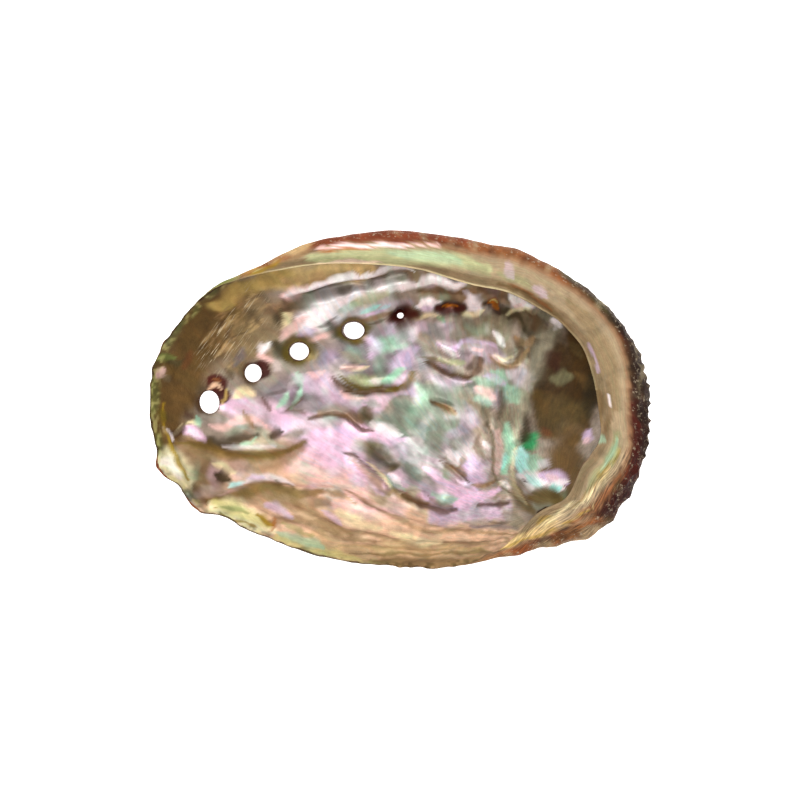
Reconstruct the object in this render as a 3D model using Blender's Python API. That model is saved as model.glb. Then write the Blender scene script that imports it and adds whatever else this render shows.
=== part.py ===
"""An abalone shell lying on its back: an ear-shaped bowl with a folded-in columellar shelf,
a row of breathing holes on raised tubes, corrugated walls and a low spire at the right-hand end.

The plan is seen from above, into the bowl: +X runs to the spire end, +Y to the shelf side.
The tables are in millimetres. The mesh is made in metres, standing on z = 0.
"""

import math

import bmesh
import bpy
import numpy as np

MM = 0.001
RINGS = 24  # rings of faces from the crown to the rim, on each side of the wall
EDGE_BIAS = 1.12  # above 1, the rings are closer together towards the rim
SOFTENING = 0.3  # how far each point is drawn to the middle of its neighbours

# The silhouette in plan, counterclockwise from the spire end. The notches by (-56, -29) are the
# wavy front of the lip.
OUTLINE = [
    (69.9, -3.0), (68.4, 8.0), (64.2, 19.1), (56.6, 27.9), (47.7, 34.3), (34.5, 41.3),
    (20.9, 45.0), (2.2, 47.3), (-13.7, 46.4), (-26.0, 44.1), (-38.5, 38.7), (-52.0, 31.2),
    (-59.6, 24.6), (-66.4, 15.5), (-69.7, 7.0), (-70.0, -2.5), (-69.2, -9.5), (-67.9, -14.5),
    (-68.3, -18.8), (-65.4, -21.7), (-61.6, -23.5), (-58.6, -26.8), (-55.6, -30.0),
    (-52.0, -30.7), (-48.6, -32.2), (-44.2, -35.5), (-38.0, -38.2), (-30.0, -41.2),
    (-15.4, -45.2), (-1.5, -46.6), (12.4, -46.8), (24.5, -45.0), (40.4, -41.5),
    (50.8, -38.4), (58.9, -32.2), (65.0, -24.0), (68.6, -14.0),
]
CROWN = (20.0, 3.0)  # the lowest point of the back, from which the sections below are drawn

# Each table gives a size against the bearing from the crown, in degrees.
RIM_HEIGHT = [(0, 35.5), (100, 35.0), (120, 34.4), (181, 32.4), (203, 32.8), (240, 34.3), (281, 35.2)]
INSET = [
    (0, 5.0), (18, 2.9), (40, 2.0), (120, 2.5), (138, 1.9), (155, 0.4), (167, 0.0), (273, 0.0),
    (287, 1.2), (300, 3.5), (337, 4.4), (349, 6.2),
]
TURN_IN = [
    (0, 9.9), (40, 6.0), (120, 4.2), (138, 3.4), (155, 0.9), (167, 0.0), (273, 0.1), (287, 2.5),
    (300, 6.5), (314, 9.0), (349, 11.0),
]
SHELF = [
    (0, 9.8), (15, 11.0), (38, 11.3), (74, 10.3), (120, 6.9), (134, 5.6), (143, 2.1), (150, 0.0),
    (268, 0.0), (280, 1.5), (298, 7.0), (310, 9.4), (324, 11.0), (331, 11.0), (340, 9.3), (349, 8.5),
]
FLATNESS = [(0, 2.5), (120, 2.3), (181, 2.0), (240, 2.1), (302, 2.4)]
STEEPNESS = [(0, 1.9), (69, 1.8), (120, 1.6), (154, 1.3), (180, 1.2), (240, 1.3), (302, 1.7)]
WALL = [(0, 3.0), (120, 2.5), (181, 1.7), (225, 1.6), (261, 1.8), (302, 2.8)]
FLOOR_WALL = 2.5
SHELF_SLOPE = 0.2  # how far the shelf falls towards its edge, as a share of its width
SHELF_ROOT = 3.2  # thickness of the shelf where it leaves the wall

# Breathing holes from the newest: centre, half width along and across, and lean of the tube in plan.
HOLES = [
    ((-52.8, 0.4), 3.0, 2.5, (-0.6, -1.0)),
    ((-40.9, 8.4), 2.6, 2.4, (-0.5, -0.6)),
    ((-28.0, 13.7), 2.7, 2.2, (0.0, 0.0)),
    ((-12.7, 19.5), 2.9, 2.2, (0.0, 0.1)),
    ((0.8, 23.4), 1.5, 1.2, (-0.4, -0.1)),
]
# Older holes, grown shut: centre and radius of the knob that each leaves on the back.
HEALED_HOLES = [
    ((13.8, 25.8), 3.6), ((24.9, 26.6), 3.2), ((35.2, 24.8), 2.9), ((44.6, 20.4), 2.6),
    ((51.8, 13.4), 2.3), ((56.0, 6.0), 2.0),
]
HOLE_SIDES = 16
TUBE_RISE = 3.2
TUBE_REACH = 1.6

# The suture groove on the back. It is the ridge that shows inside between the floor and the spire.
SUTURE = [
    (43.5, -37.5), (38.6, -32.4), (33.6, -29.2), (31.6, -24.5), (31.8, -18.0), (33.4, -10.0),
    (35.0, -1.0), (38.2, 9.0), (44.0, 17.5), (52.0, 19.0), (59.0, 13.5), (62.5, 4.0),
    (61.5, -5.5), (56.8, -9.0), (54.0, -4.0), (56.2, 0.2),
]
SPIRE_RIDGE = [
    (46.0, 23.5), (42.2, 17.0), (38.3, 9.3), (35.2, 0.5), (34.0, -6.8), (32.3, -14.7),
    (31.4, -22.2), (32.2, -27.6), (35.6, -30.6), (39.5, -31.6),
]

# Folds that both faces of the wall share: route, height into the bowl, and half width on the left
# and on the right of the route. A negative height is a hollow inside and a swelling outside.
FOLDS = [
    ([(-16.9, 5.6), (-7.1, 5.0), (3.5, 9.2)], -1.5, 3.4, 2.8),
    ([(7.0, 13.4), (15.2, 11.9), (24.0, 13.4)], -1.6, 3.4, 3.0),
    ([(29.5, 18.0), (34.4, 13.8), (40.5, 14.5)], -1.2, 2.8, 2.8),
    ([(-33.7, 0.3), (-25.6, 4.5)], -0.9, 2.2, 2.2),
    ([(-26.5, -5.2), (-16.9, -2.6), (-8.0, -8.6)], 0.9, 4.5, 1.8),
    ([(-17.0, -13.4), (-8.5, -17.5), (-3.5, -23.0), (1.5, -27.5), (13.0, -28.5)], 1.3, 2.0, 5.0),
    ([(-63.0, -10.8), (-51.8, -14.2), (-39.3, -15.3), (-27.0, -11.6)], 1.4, 3.6, 2.2),
    ([(-56.5, -27.0), (-44.8, -25.2), (-28.1, -25.8), (-15.5, -28.4), (0.0, -34.6), (15.0, -37.6)], 1.4, 3.4, 2.6),
    ([(-50.0, -20.8), (-46.0, -22.0)], -1.5, 3.0, 2.6),
    ([(-33.0, 29.0), (-19.7, 33.4), (-5.0, 35.8), (8.2, 35.2), (22.0, 30.4)], 0.9, 2.0, 2.2),
    ([(-32.0, 26.4), (-19.7, 29.8), (-2.0, 33.0), (12.0, 31.8), (24.0, 27.6)], -1.0, 1.8, 2.2),
    ([(-33.0, 18.6), (-21.5, 24.6), (-8.0, 28.8), (6.0, 30.2), (18.0, 28.8)], 1.1, 2.4, 2.2),
    ([(6.0, -8.0), (12.0, -15.0), (22.0, -20.0)], -1.0, 4.0, 4.0),
    ([(-8.0, -8.5), (2.0, -3.5), (13.0, -1.5)], -0.9, 3.4, 3.0),
]

# Growth: folds parallel to earlier lips, crossed by cords that follow the row of holes. Both start
# from the apex of the spire.
APEX = (57.0, -1.0)
GROWTH_STEP = 0.105  # spacing of the growth folds in the logarithm of the shell's size
CORD_STEP = 0.19  # spacing of the cords, in radians round the apex
CORD_TWIST = 0.16  # how far the cords turn as the shell grows
GROWTH_RISE = 0.8
CORD_RISE = 0.65

# Worn knobs that the shell stands on: centre and radius of the flat, and the depth of the flats
# below the crown.
FEET = [((9.0, 12.0), 3.6), ((10.0, -9.0), 3.4), ((31.0, -8.0), 3.6), ((30.0, 13.5), 3.4)]
FOOT_DEPTH = 0.9

SHELL_COLOUR = (0.70, 0.62, 0.56, 1.0)


def smooth_curve(points, closed=False, steps=12):
    """Points along a Catmull-Rom curve through the given ones."""
    p = np.array(points, float)
    n = len(p)
    ends = (p[-1:], p[:2]) if closed else (2 * p[:1] - p[1:2], 2 * p[-1:] - p[-2:-1])
    q = np.vstack([ends[0], p, ends[1]])
    t = np.linspace(0, 1, steps, endpoint=False)[:, None]
    made = []
    for i in range(n if closed else n - 1):
        a, b, c, d = q[i : i + 4]
        made.append(0.5 * (2 * b + (c - a) * t + (2 * a - 5 * b + 4 * c - d) * t**2 + (3 * b - a - 3 * c + d) * t**3))
    made.append(p[:1] if closed else p[-1:])
    return np.vstack(made)


def smoothstep(low, high, x):
    t = np.clip((x - low) / (high - low), 0, 1)
    return t * t * (3 - 2 * t)


def by_bearing(table, degrees):
    angles, values = zip(*sorted((a % 360, v) for a, v in table))
    return np.interp(degrees, angles, values, period=360)


def even_steps(points, count):
    """The polyline's points at even distances."""
    run = np.concatenate([[0], np.cumsum(np.linalg.norm(np.diff(points, axis=0), axis=1))])
    at = np.linspace(0, run[-1], count)
    return np.column_stack([np.interp(at, run, points[:, k]) for k in range(2)])


def rounded(table, passes, around=False):
    """The table with its corners rounded along each section, or round the shell."""
    for _ in range(passes):
        if around:
            table = (np.roll(table, 1, axis=0) + 2 * table + np.roll(table, -1, axis=0)) / 4
        else:
            table = table.copy()
            table[:, 1:-1] = (table[:, :-2] + 2 * table[:, 1:-1] + table[:, 2:]) / 4
    return table


def radius_by_bearing(curve, degrees):
    """Distance from the crown to a closed curve, at each bearing."""
    away = curve - np.array(CROWN)
    bearing = np.degrees(np.arctan2(away[:, 1], away[:, 0])) % 360
    order = np.argsort(bearing)
    return np.interp(degrees, bearing[order], np.hypot(*away.T)[order], period=360)


class Form:
    """The two faces of the wall as tables of points over bearing and share of the way to the edge."""

    BEARINGS = 720
    STATIONS = 200

    def __init__(self):
        self.degrees = np.arange(self.BEARINGS) * 360.0 / self.BEARINGS
        wavy = radius_by_bearing(smooth_curve(OUTLINE, closed=True), self.degrees)
        plain = rounded(wavy[:, None], 260, around=True)[:, 0]
        tables = (RIM_HEIGHT, INSET, TURN_IN, SHELF, FLATNESS, STEEPNESS, WALL)
        sizes = np.column_stack([by_bearing(t, self.degrees) for t in tables])
        sizes = rounded(sizes, 90, around=True)
        sections = [self.section(reach, *row) for reach, row in zip(plain, sizes)]
        outer, inner = zip(*sections)
        share = np.linspace(0, 1, self.STATIONS)
        notch = ((wavy - plain)[:, None] * share**5)[:, :, None] * np.array([1.0, 0.0])
        outer = rounded(rounded(np.array(outer), 14), 6, around=True) + notch
        inner = rounded(rounded(np.array(inner), 14), 6, around=True) + notch
        inner[:, -1] = outer[:, -1]
        self.crest = np.argmax(outer[:, :, 1], axis=1) / (self.STATIONS - 1)
        self.faces = [self.placed(outer), self.placed(inner)]

    def section(self, reach, rim, inset, turn, shelf, p, q, wall):
        """Outer and inner half section at one bearing, as (distance from the crown, height)."""
        t = np.linspace(0, math.pi / 2, 90)
        bowl = 1 - (1 - np.sin(t) ** p) ** (1 / q)
        body = np.column_stack([reach * np.sin(t), (rim - turn) * bowl])
        turned = np.column_stack([reach - inset * (1 - np.cos(t)), rim - turn * (1 - np.sin(t))])
        edge = np.array([[reach - inset - shelf, rim - SHELF_SLOPE * shelf]])
        top = np.vstack([turned, edge])
        root = rim - smoothstep(0, 3, shelf) * SHELF_ROOT - (1 - smoothstep(0, 3, shelf)) * 1.6
        inside = np.column_stack([(reach - wall) * np.sin(t), FLOOR_WALL + (root - FLOOR_WALL) * bowl])
        under = np.vstack([inside[-1:], edge])
        body_run, top_run = (np.linalg.norm(np.diff(c, axis=0), axis=1).sum() for c in (body, top))
        split = int(self.STATIONS * min(0.96, body_run / (body_run + top_run)))
        outer = np.vstack([even_steps(body, split), even_steps(top, self.STATIONS - split + 1)[1:]])
        inner = np.vstack([even_steps(inside, split), even_steps(under, self.STATIONS - split + 1)[1:]])
        return outer, inner

    def placed(self, sections):
        """Points and inward normals of one face, from its half sections."""
        turn = np.radians(self.degrees)[:, None]
        points = np.dstack([
            CROWN[0] + sections[:, :, 0] * np.cos(turn),
            CROWN[1] + sections[:, :, 0] * np.sin(turn),
            sections[:, :, 1],
        ])
        along = np.gradient(points, axis=1)
        across = np.roll(points, -1, axis=0) - np.roll(points, 1, axis=0)
        normals = np.cross(along, across)
        normals[:, 0] = (0, 0, 1)
        normals /= np.linalg.norm(normals, axis=2)[:, :, None] + 1e-12
        return np.dstack([points, normals])

    def look_up(self, face, bearing, share):
        """Points and inward normals at these bearings (radians) and shares of the way to the edge."""
        table = self.faces[face]
        u = (np.degrees(bearing) % 360) * self.BEARINGS / 360
        v = np.clip(share, 0, 1) * (self.STATIONS - 1)
        i, j = np.floor(u).astype(int) % self.BEARINGS, np.minimum(v.astype(int), self.STATIONS - 2)
        a, b = (u - np.floor(u))[:, None], (v - j)[:, None]
        k = (i + 1) % self.BEARINGS
        near = table[i, j] * (1 - b) + table[i, j + 1] * b
        far = table[k, j] * (1 - b) + table[k, j + 1] * b
        found = near * (1 - a) + far * a
        return found[:, :3], found[:, 3:]


def route_offset(points, route):
    """Signed distance of each point from a route (left of it is positive) and the share along it."""
    curve = smooth_curve(route)
    best = np.full(len(points), 1e9)
    side = np.zeros(len(points))
    share = np.zeros(len(points))
    for k in range(len(curve) - 1):
        a, step = curve[k], curve[k + 1] - curve[k]
        t = np.clip(((points - a) @ step) / (step @ step), 0, 1)
        away = points - a - t[:, None] * step
        far = np.hypot(*away.T)
        nearer = far < best
        best[nearer] = far[nearer]
        side[nearer] = np.sign(step[0] * away[nearer, 1] - step[1] * away[nearer, 0])
        share[nearer] = (k + t[nearer]) / (len(curve) - 1)
    return best * side, share


def fold(points, route, height, left, right):
    """A ridge along a route, with its own half width on either side, fading out at both ends."""
    off, share = route_offset(points, route)
    width = np.where(off > 0, left, right)
    return height * np.exp(-((off / width) ** 2)) * smoothstep(-0.05, 0.18, share) * smoothstep(1.05, 0.82, share)


def knob(points, centre, radius):
    """1 at the centre of a round knob, falling to 0 at about twice its radius."""
    return np.exp(-((np.hypot(*(points - np.array(centre)).T) / radius) ** 2))


def growth(points):
    """Logarithm of the shell's size when it reached each point, and the bearing from the apex."""
    outline = smooth_curve(OUTLINE, closed=True)
    away = outline - np.array(APEX)
    bearing = np.arctan2(away[:, 1], away[:, 0])
    order = np.argsort(bearing)
    off = points - np.array(APEX)
    turn = np.arctan2(off[:, 1], off[:, 0])
    full = np.interp(turn, bearing[order], np.hypot(*away.T)[order], period=2 * math.pi)
    return np.log(np.maximum(np.hypot(*off.T), 0.5) / full), turn


def corrugation(points):
    """Lumps where growth folds cross the cords, in millimetres out of the back."""
    size, turn = growth(points)
    folds = np.cos(2 * math.pi * size / GROWTH_STEP + 1.5 * np.sin(3 * turn))
    cords = np.cos(2 * math.pi * (turn + CORD_TWIST * size) / CORD_STEP)
    away = smoothstep(-2.2, -0.9, size)
    return away * (GROWTH_RISE * folds + CORD_RISE * cords * (0.6 + 0.4 * folds))


def lift(points, inside, rough):
    """How far each point of a face is moved into the bowl. The back is rough where rough is 1."""
    total = np.zeros(len(points))
    for route, height, left, right in FOLDS:
        total += fold(points, route, height, left, right)
    for centre, along, across, _lean in HOLES:
        rise = TUBE_RISE if not inside else 0.7
        total -= rise * knob(points, centre, (along + across) / 2 + TUBE_REACH)
    for centre, radius in HEALED_HOLES:
        total -= (0.6 if inside else 1.5) * knob(points, centre, radius)
    if inside:
        total += fold(points, SPIRE_RIDGE, 5.0, 2.4, 8.0)
        total -= 0.25 * corrugation(points)
    else:
        total += fold(points, SUTURE, 2.6, 2.4, 3.0)
        total -= corrugation(points) * rough
    return total


def concentric(bm_verts):
    """Bearing and ring share of the vertices of a square grid of half side 1, mapped onto a disc."""
    x, y = np.array([v.co[:2] for v in bm_verts]).T
    share = np.maximum(np.abs(x), np.abs(y))
    wide = np.abs(x) >= np.abs(y)
    with np.errstate(divide="ignore", invalid="ignore"):
        bearing = np.where(wide, math.pi / 4 * y / x, math.pi / 2 - math.pi / 4 * x / y)
    bearing = np.where(share < 1e-9, 0, bearing) + np.where(wide & (x < 0) | ~wide & (y < 0), math.pi, 0)
    return bearing, share


def face_of_wall(bm, form, inside):
    """One face of the wall: a grid laid over the form, lumps and folds included."""
    made = bmesh.ops.create_grid(bm, x_segments=2 * RINGS, y_segments=2 * RINGS, size=1.0)
    verts = made["verts"]
    bearing, share = concentric(verts)
    share = 1 - (1 - share) ** EDGE_BIAS
    points, normals = form.look_up(int(inside), bearing, share)
    fade = smoothstep(1.0, 0.9, share)
    crest = np.interp(np.degrees(bearing) % 360, form.degrees, form.crest, period=360)
    rough = smoothstep(0.0, 0.07, crest - share)
    moved = points + normals * (lift(points[:, :2], inside, rough) * fade)[:, None]
    for vert, place in zip(verts, moved):
        vert.co = place
    loose = [v for v, s in zip(verts, share) if 1e-3 < s < 0.999]
    bmesh.ops.smooth_vert(bm, verts=loose, factor=SOFTENING, use_axis_x=True, use_axis_y=True, use_axis_z=True)
    if inside:
        return
    bmesh.ops.reverse_faces(bm, faces=list({f for v in verts for f in v.link_faces}))
    for vert in verts:
        if vert.co.z > 15:
            continue
        for centre, radius in FEET:
            away = math.hypot(vert.co.x - centre[0], vert.co.y - centre[1])
            share = float(smoothstep(radius * 1.9, radius, away))
            vert.co.z += (-FOOT_DEPTH - vert.co.z) * share


def hole_cutter(collection, index, form, centre, along, across, lean):
    """A tapered plug that cuts one breathing hole, wider inside the bowl, leaning with its tube."""
    reach = 9.0
    bearing = math.atan2(centre[1] - CROWN[1], centre[0] - CROWN[0])
    floor, _ = form.look_up(1, np.full(400, bearing), np.linspace(0, 1, 400))
    nearest = np.argmin(np.hypot(*(floor[:, :2] - np.array(centre)).T))
    mesh = bpy.data.meshes.new(f"cutter_{index}")
    bm = bmesh.new()
    bmesh.ops.create_cone(
        bm, cap_ends=True, segments=HOLE_SIDES, radius1=0.55, radius2=1.45, depth=2 * reach)
    for vert in bm.verts:
        up = vert.co.z / reach
        vert.co.x = vert.co.x * along - lean[0] * (1 - up) + centre[0]
        vert.co.y = vert.co.y * across - lean[1] * (1 - up) + centre[1]
        vert.co.z += floor[nearest, 2] - FLOOR_WALL / 2
        vert.co *= MM
    bm.to_mesh(mesh)
    bm.free()
    cutter = bpy.data.objects.new(f"cutter_{index}", mesh)
    cutter.hide_render = True
    cutter.display_type = "WIRE"
    collection.objects.link(cutter)
    return cutter


def shell_material():
    material = bpy.data.materials.new("nacre")
    material.use_nodes = True
    surface = material.node_tree.nodes["Principled BSDF"]
    surface.inputs["Base Color"].default_value = SHELL_COLOUR
    surface.inputs["Metallic"].default_value = 0.15
    surface.inputs["Roughness"].default_value = 0.35
    return material


def build():
    for obj in list(bpy.data.objects):
        bpy.data.objects.remove(obj)
    parts = bpy.data.collections.new("abalone")
    cutters = bpy.data.collections.new("cutters")
    for collection in (parts, cutters):
        bpy.context.scene.collection.children.link(collection)

    form = Form()
    bm = bmesh.new()
    face_of_wall(bm, form, inside=True)
    face_of_wall(bm, form, inside=False)
    bmesh.ops.remove_doubles(bm, verts=bm.verts, dist=1e-4)
    places = np.array([v.co for v in bm.verts])
    shift = -(places.min(axis=0) + places.max(axis=0)) / 2
    shift[2] = FOOT_DEPTH
    for vert, place in zip(bm.verts, places + shift):
        vert.co = place * MM
        vert.co.z = max(vert.co.z, 0.0)
    bmesh.ops.triangulate(bm, faces=bm.faces, quad_method="SHORT_EDGE")
    mesh = bpy.data.meshes.new("abalone_shell")
    bm.to_mesh(mesh)
    bm.free()
    shell = bpy.data.objects.new("abalone_shell", mesh)
    shell.data.materials.append(shell_material())
    parts.objects.link(shell)

    for index, (centre, along, across, lean) in enumerate(HOLES):
        cutter = hole_cutter(cutters, index, form, centre, along, across, lean)
        cutter.location = shift * MM
        cut = shell.modifiers.new(f"hole_{index}", "BOOLEAN")
        cut.operation = "DIFFERENCE"
        cut.object = cutter
        cut.solver = "EXACT"
    shell.data.shade_smooth()


build()
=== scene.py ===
"""The abalone shell dressed: the form of the solid with finer relief, its pearly inside and its
rough back. The tables are in millimetres, and the mesh is made in metres."""

import math

import bmesh
import bpy
import numpy as np
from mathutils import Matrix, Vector
from mathutils.kdtree import KDTree


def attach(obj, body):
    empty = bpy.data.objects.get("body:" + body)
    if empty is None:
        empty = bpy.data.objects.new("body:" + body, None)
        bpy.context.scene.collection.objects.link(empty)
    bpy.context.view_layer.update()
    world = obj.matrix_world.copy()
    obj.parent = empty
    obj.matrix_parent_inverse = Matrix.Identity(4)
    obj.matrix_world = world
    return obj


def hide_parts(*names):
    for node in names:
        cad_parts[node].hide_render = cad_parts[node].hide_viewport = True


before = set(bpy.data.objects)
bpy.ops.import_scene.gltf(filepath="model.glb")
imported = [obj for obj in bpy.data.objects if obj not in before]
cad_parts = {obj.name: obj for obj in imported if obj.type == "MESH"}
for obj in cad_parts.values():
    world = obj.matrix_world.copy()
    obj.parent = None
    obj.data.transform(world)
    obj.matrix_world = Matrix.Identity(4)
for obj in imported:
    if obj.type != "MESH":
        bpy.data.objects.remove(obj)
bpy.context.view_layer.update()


def rows(text):
    """The rows of a table: words and numbers, a colon, then places as x,y. Each row becomes a tuple
    that ends with its list of places. A row may run on over the next line."""
    made = []
    for line in text.strip().splitlines():
        if line.startswith("#"):
            continue
        if ":" in line:
            head, line = line.split(":")
            words = " ".join(word for word in head.split() if word.isalpha())
            sizes = [float(word) for word in head.split() if not word.isalpha()]
            made.append((*([words] if words else []), *sizes, []))
        made[-1][-1].extend(tuple(map(float, place.split(","))) for place in line.split())
    return made


MM = 0.001
SAME = 1e-4  # points nearer than this are one
BACK_RINGS = 66  # rings of faces from the crown to the rim, on the back
PEARL_RINGS = 2 * BACK_RINGS  # and on the pearly face
EDGE_BIAS = {True: 1.08, False: 1.5}  # how the rings crowd towards the edge, inside and on the back
THINNEST = 0.9  # how thin pits and folds may leave the wall, where it is thicker without them

# The silhouette in plan, counterclockwise from the spire end.
OUTLINE = [
    (69.9, -3.0), (68.4, 8.0), (64.2, 19.1), (56.6, 27.9), (47.7, 34.3), (34.5, 41.3),
    (20.9, 44.3), (2.2, 47.3), (-13.7, 46.4), (-26.0, 43.8), (-38.4, 38.2), (-45.6, 34.8), (-51.6, 32.2),
    (-59.6, 24.6), (-66.4, 15.5), (-69.7, 7.0), (-70.0, -2.5), (-69.2, -9.5), (-67.9, -14.5),
    (-68.3, -18.8), (-65.4, -21.7), (-61.9, -24.0), (-59.3, -28.2), (-56.2, -31.6),
    (-52.4, -31.9), (-48.8, -32.8), (-44.2, -35.5), (-38.0, -38.2), (-30.0, -41.2),
    (-15.4, -45.2), (-1.5, -46.6), (12.4, -46.8), (24.5, -44.8), (40.4, -40.9),
    (51.4, -38.8), (55.8, -36.7), (59.2, -32.9), (63.2, -26.9), (66.4, -22.3), (69.5, -14.4),
]
CROWN = (20.0, 3.0)  # the lowest point of the bowl, which all bearings are taken from

# Each table gives a size against the bearing from the crown, in degrees. INSET and TURN_IN say how
# far the rim leans in and how far below its top it starts to. SHELF is the width of the shelf, and
# WALL the wall's thickness at the side. FLATNESS and STEEPNESS shape the bowl: they are the
# exponents of its curve at the bottom and at the wall.
RIM_HEIGHT = [(0, 35.5), (100, 35.0), (120, 34.4), (181, 32.4), (203, 32.8), (240, 34.3), (281, 35.2)]
INSET = [
    (0, 5.0), (18, 2.9), (40, 2.0), (120, 2.5), (138, 1.9), (155, 0.4), (167, 0.0), (273, 0.0),
    (287, 1.2), (300, 3.5), (337, 4.4), (349, 6.2),
]
TURN_IN = [
    (0, 9.9), (40, 6.0), (120, 4.2), (138, 3.4), (155, 0.9), (167, 0.0), (273, 0.1), (287, 2.5),
    (300, 6.5), (314, 9.0), (349, 11.0),
]
SHELF = [
    (0, 9.8), (15, 11.1), (27, 11.0), (40, 10.4), (58, 9.9), (74, 9.9), (90, 10.0), (104, 10.0),
    (120, 9.1), (134, 8.2), (143, 5.4), (150, 2.7), (157, 0.4), (161, 0.0), (268, 0.0), (280, 1.5),
    (298, 7.0), (310, 9.4), (324, 11.0), (331, 10.8), (340, 9.2), (349, 8.5),
]
FLATNESS = [(0, 2.5), (120, 2.3), (181, 2.0), (240, 2.1), (302, 2.4)]
STEEPNESS = [(0, 1.9), (69, 1.8), (120, 1.6), (154, 1.3), (180, 1.2), (240, 1.3), (302, 1.7)]
WALL = [(0, 3.0), (120, 2.5), (181, 1.7), (225, 1.6), (261, 1.8), (302, 2.8)]
FLOOR_WALL = 2.5  # thickness at the crown
SHELF_SLOPE = 0.2
SHELF_ROOT = 3.2  # how far below the rim the inner face meets the shelf
LIP_ROOT = 1.6  # the same where there is no shelf
SHELF_LIP = 3.2  # width of the turned-down band along the shelf's edge
SHELF_LIP_DROP = 1.5

# The open holes: centre, half sizes along and across, and how far the tube leans.
HOLES = [
    ((-53.2, -0.9), 2.5, 2.8, (-0.7, -1.1)),
    ((-41.1, 7.4), 2.2, 2.3, (-0.7, -0.6)),
    ((-28.1, 13.6), 2.5, 2.3, (0.0, 0.0)),
    ((-12.9, 19.4), 2.8, 2.3, (0.0, 0.1)),
    ((0.1, 23.6), 0.9, 0.8, (-0.4, -0.1)),
]
# The healed ones: centre and radius.
HEALED_HOLES = [
    ((13.8, 25.8), 3.6), ((24.9, 26.6), 3.2), ((35.2, 24.8), 2.9), ((44.6, 20.4), 2.6),
    ((51.8, 13.4), 2.3), ((56.0, 6.0), 2.0),
]
HEALED_RISE = {True: 0.4, False: 1.5}  # inside and on the back
# Low rims round a hole inside: height, and where each starts and is full, in hole radii.
HOLE_RIMS = [(1.3, 2.0, 0.9), (0.4, 3.2, 1.2)]
HOLE_SIDES = 40
PLUG_LOW, PLUG_HIGH, PLUG_REACH = 0.64, 1.72, 9.0  # radii of a hole's plug in hole radii; half height
PLUG_WAIST = 0.33  # half heights below its middle: there a plug is as wide as its hole, and not moved
TUBE_RISE = 2.4  # height of the tube round a hole on the back
TUBE_REACH = 1.2  # how much wider than the hole it is
CUT_REACH = 1.5  # hole radii within which a vertex that the cut made belongs to the hole's wall

# The groove on the back where the spire's turns meet, and the ridge that it makes inside.
SUTURE = [
    (43.5, -37.5), (38.6, -32.4), (33.6, -29.2), (31.6, -24.5), (31.8, -18.0), (33.4, -10.0),
    (35.0, -1.0), (38.2, 9.0), (44.0, 17.5), (52.0, 19.0), (59.0, 13.5), (62.5, 4.0),
    (61.5, -5.5), (56.8, -9.0), (54.0, -4.0), (56.2, 0.2),
]
SPIRE_RIDGE = [
    (46.0, 23.5), (42.2, 17.0), (38.3, 9.3), (35.2, 0.5), (34.0, -6.8), (32.3, -14.7),
    (31.4, -22.2), (32.2, -27.6), (35.6, -30.6), (39.5, -31.6),
]
# Height of each, and its half widths on the left and on the right.
SUTURE_SIZES = (2.4, 1.9, 2.4)
SPIRE_RIDGE_SIZES = (4.2, 4.0, 7.0)

APEX = (57.0, -1.0)  # where growth began
# Corrugation of the back: from one growth fold to the next the shell's size grows by this share, and
# the cords lie this far apart round the apex, in radians, and twist as the shell grows.
GROWTH_STEP = 0.105
CORD_STEP = 0.19
CORD_TWIST = 0.16
GROWTH_RISE = 0.6
CORD_RISE = 0.5

# Share of that corrugation that is left near the rim, against the bearing from the crown.
RIM_KNOBS = [
    (0, 0.7), (15, 0.6), (35, 0.45), (60, 0.3), (110, 0.2), (150, 0.6), (250, 0.4), (300, 0.7), (330, 1.0),
]

# The worn knobs that the shell stands on: centre and radius.
FEET = [((9.0, 12.0), 3.6), ((10.0, -9.0), 3.4), ((31.0, -8.0), 3.6), ((30.0, 13.5), 3.4)]
FOOT_DEPTH = 0.9
FOOT_ZONE = 15  # nothing above this height belongs to a foot

# Places in the lists below are counted in steps of 0.2794 mm to the right and down from a corner
# 400.5 steps left of and behind the middle of the shell.
STEP = 0.2794
MIDDLE = 400.5
RIM_LEVEL = 34.0
STEPS_ACROSS = 800  # width of the view
EYE = 1862.5  # height of the point above the rim from which those places are seen

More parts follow.
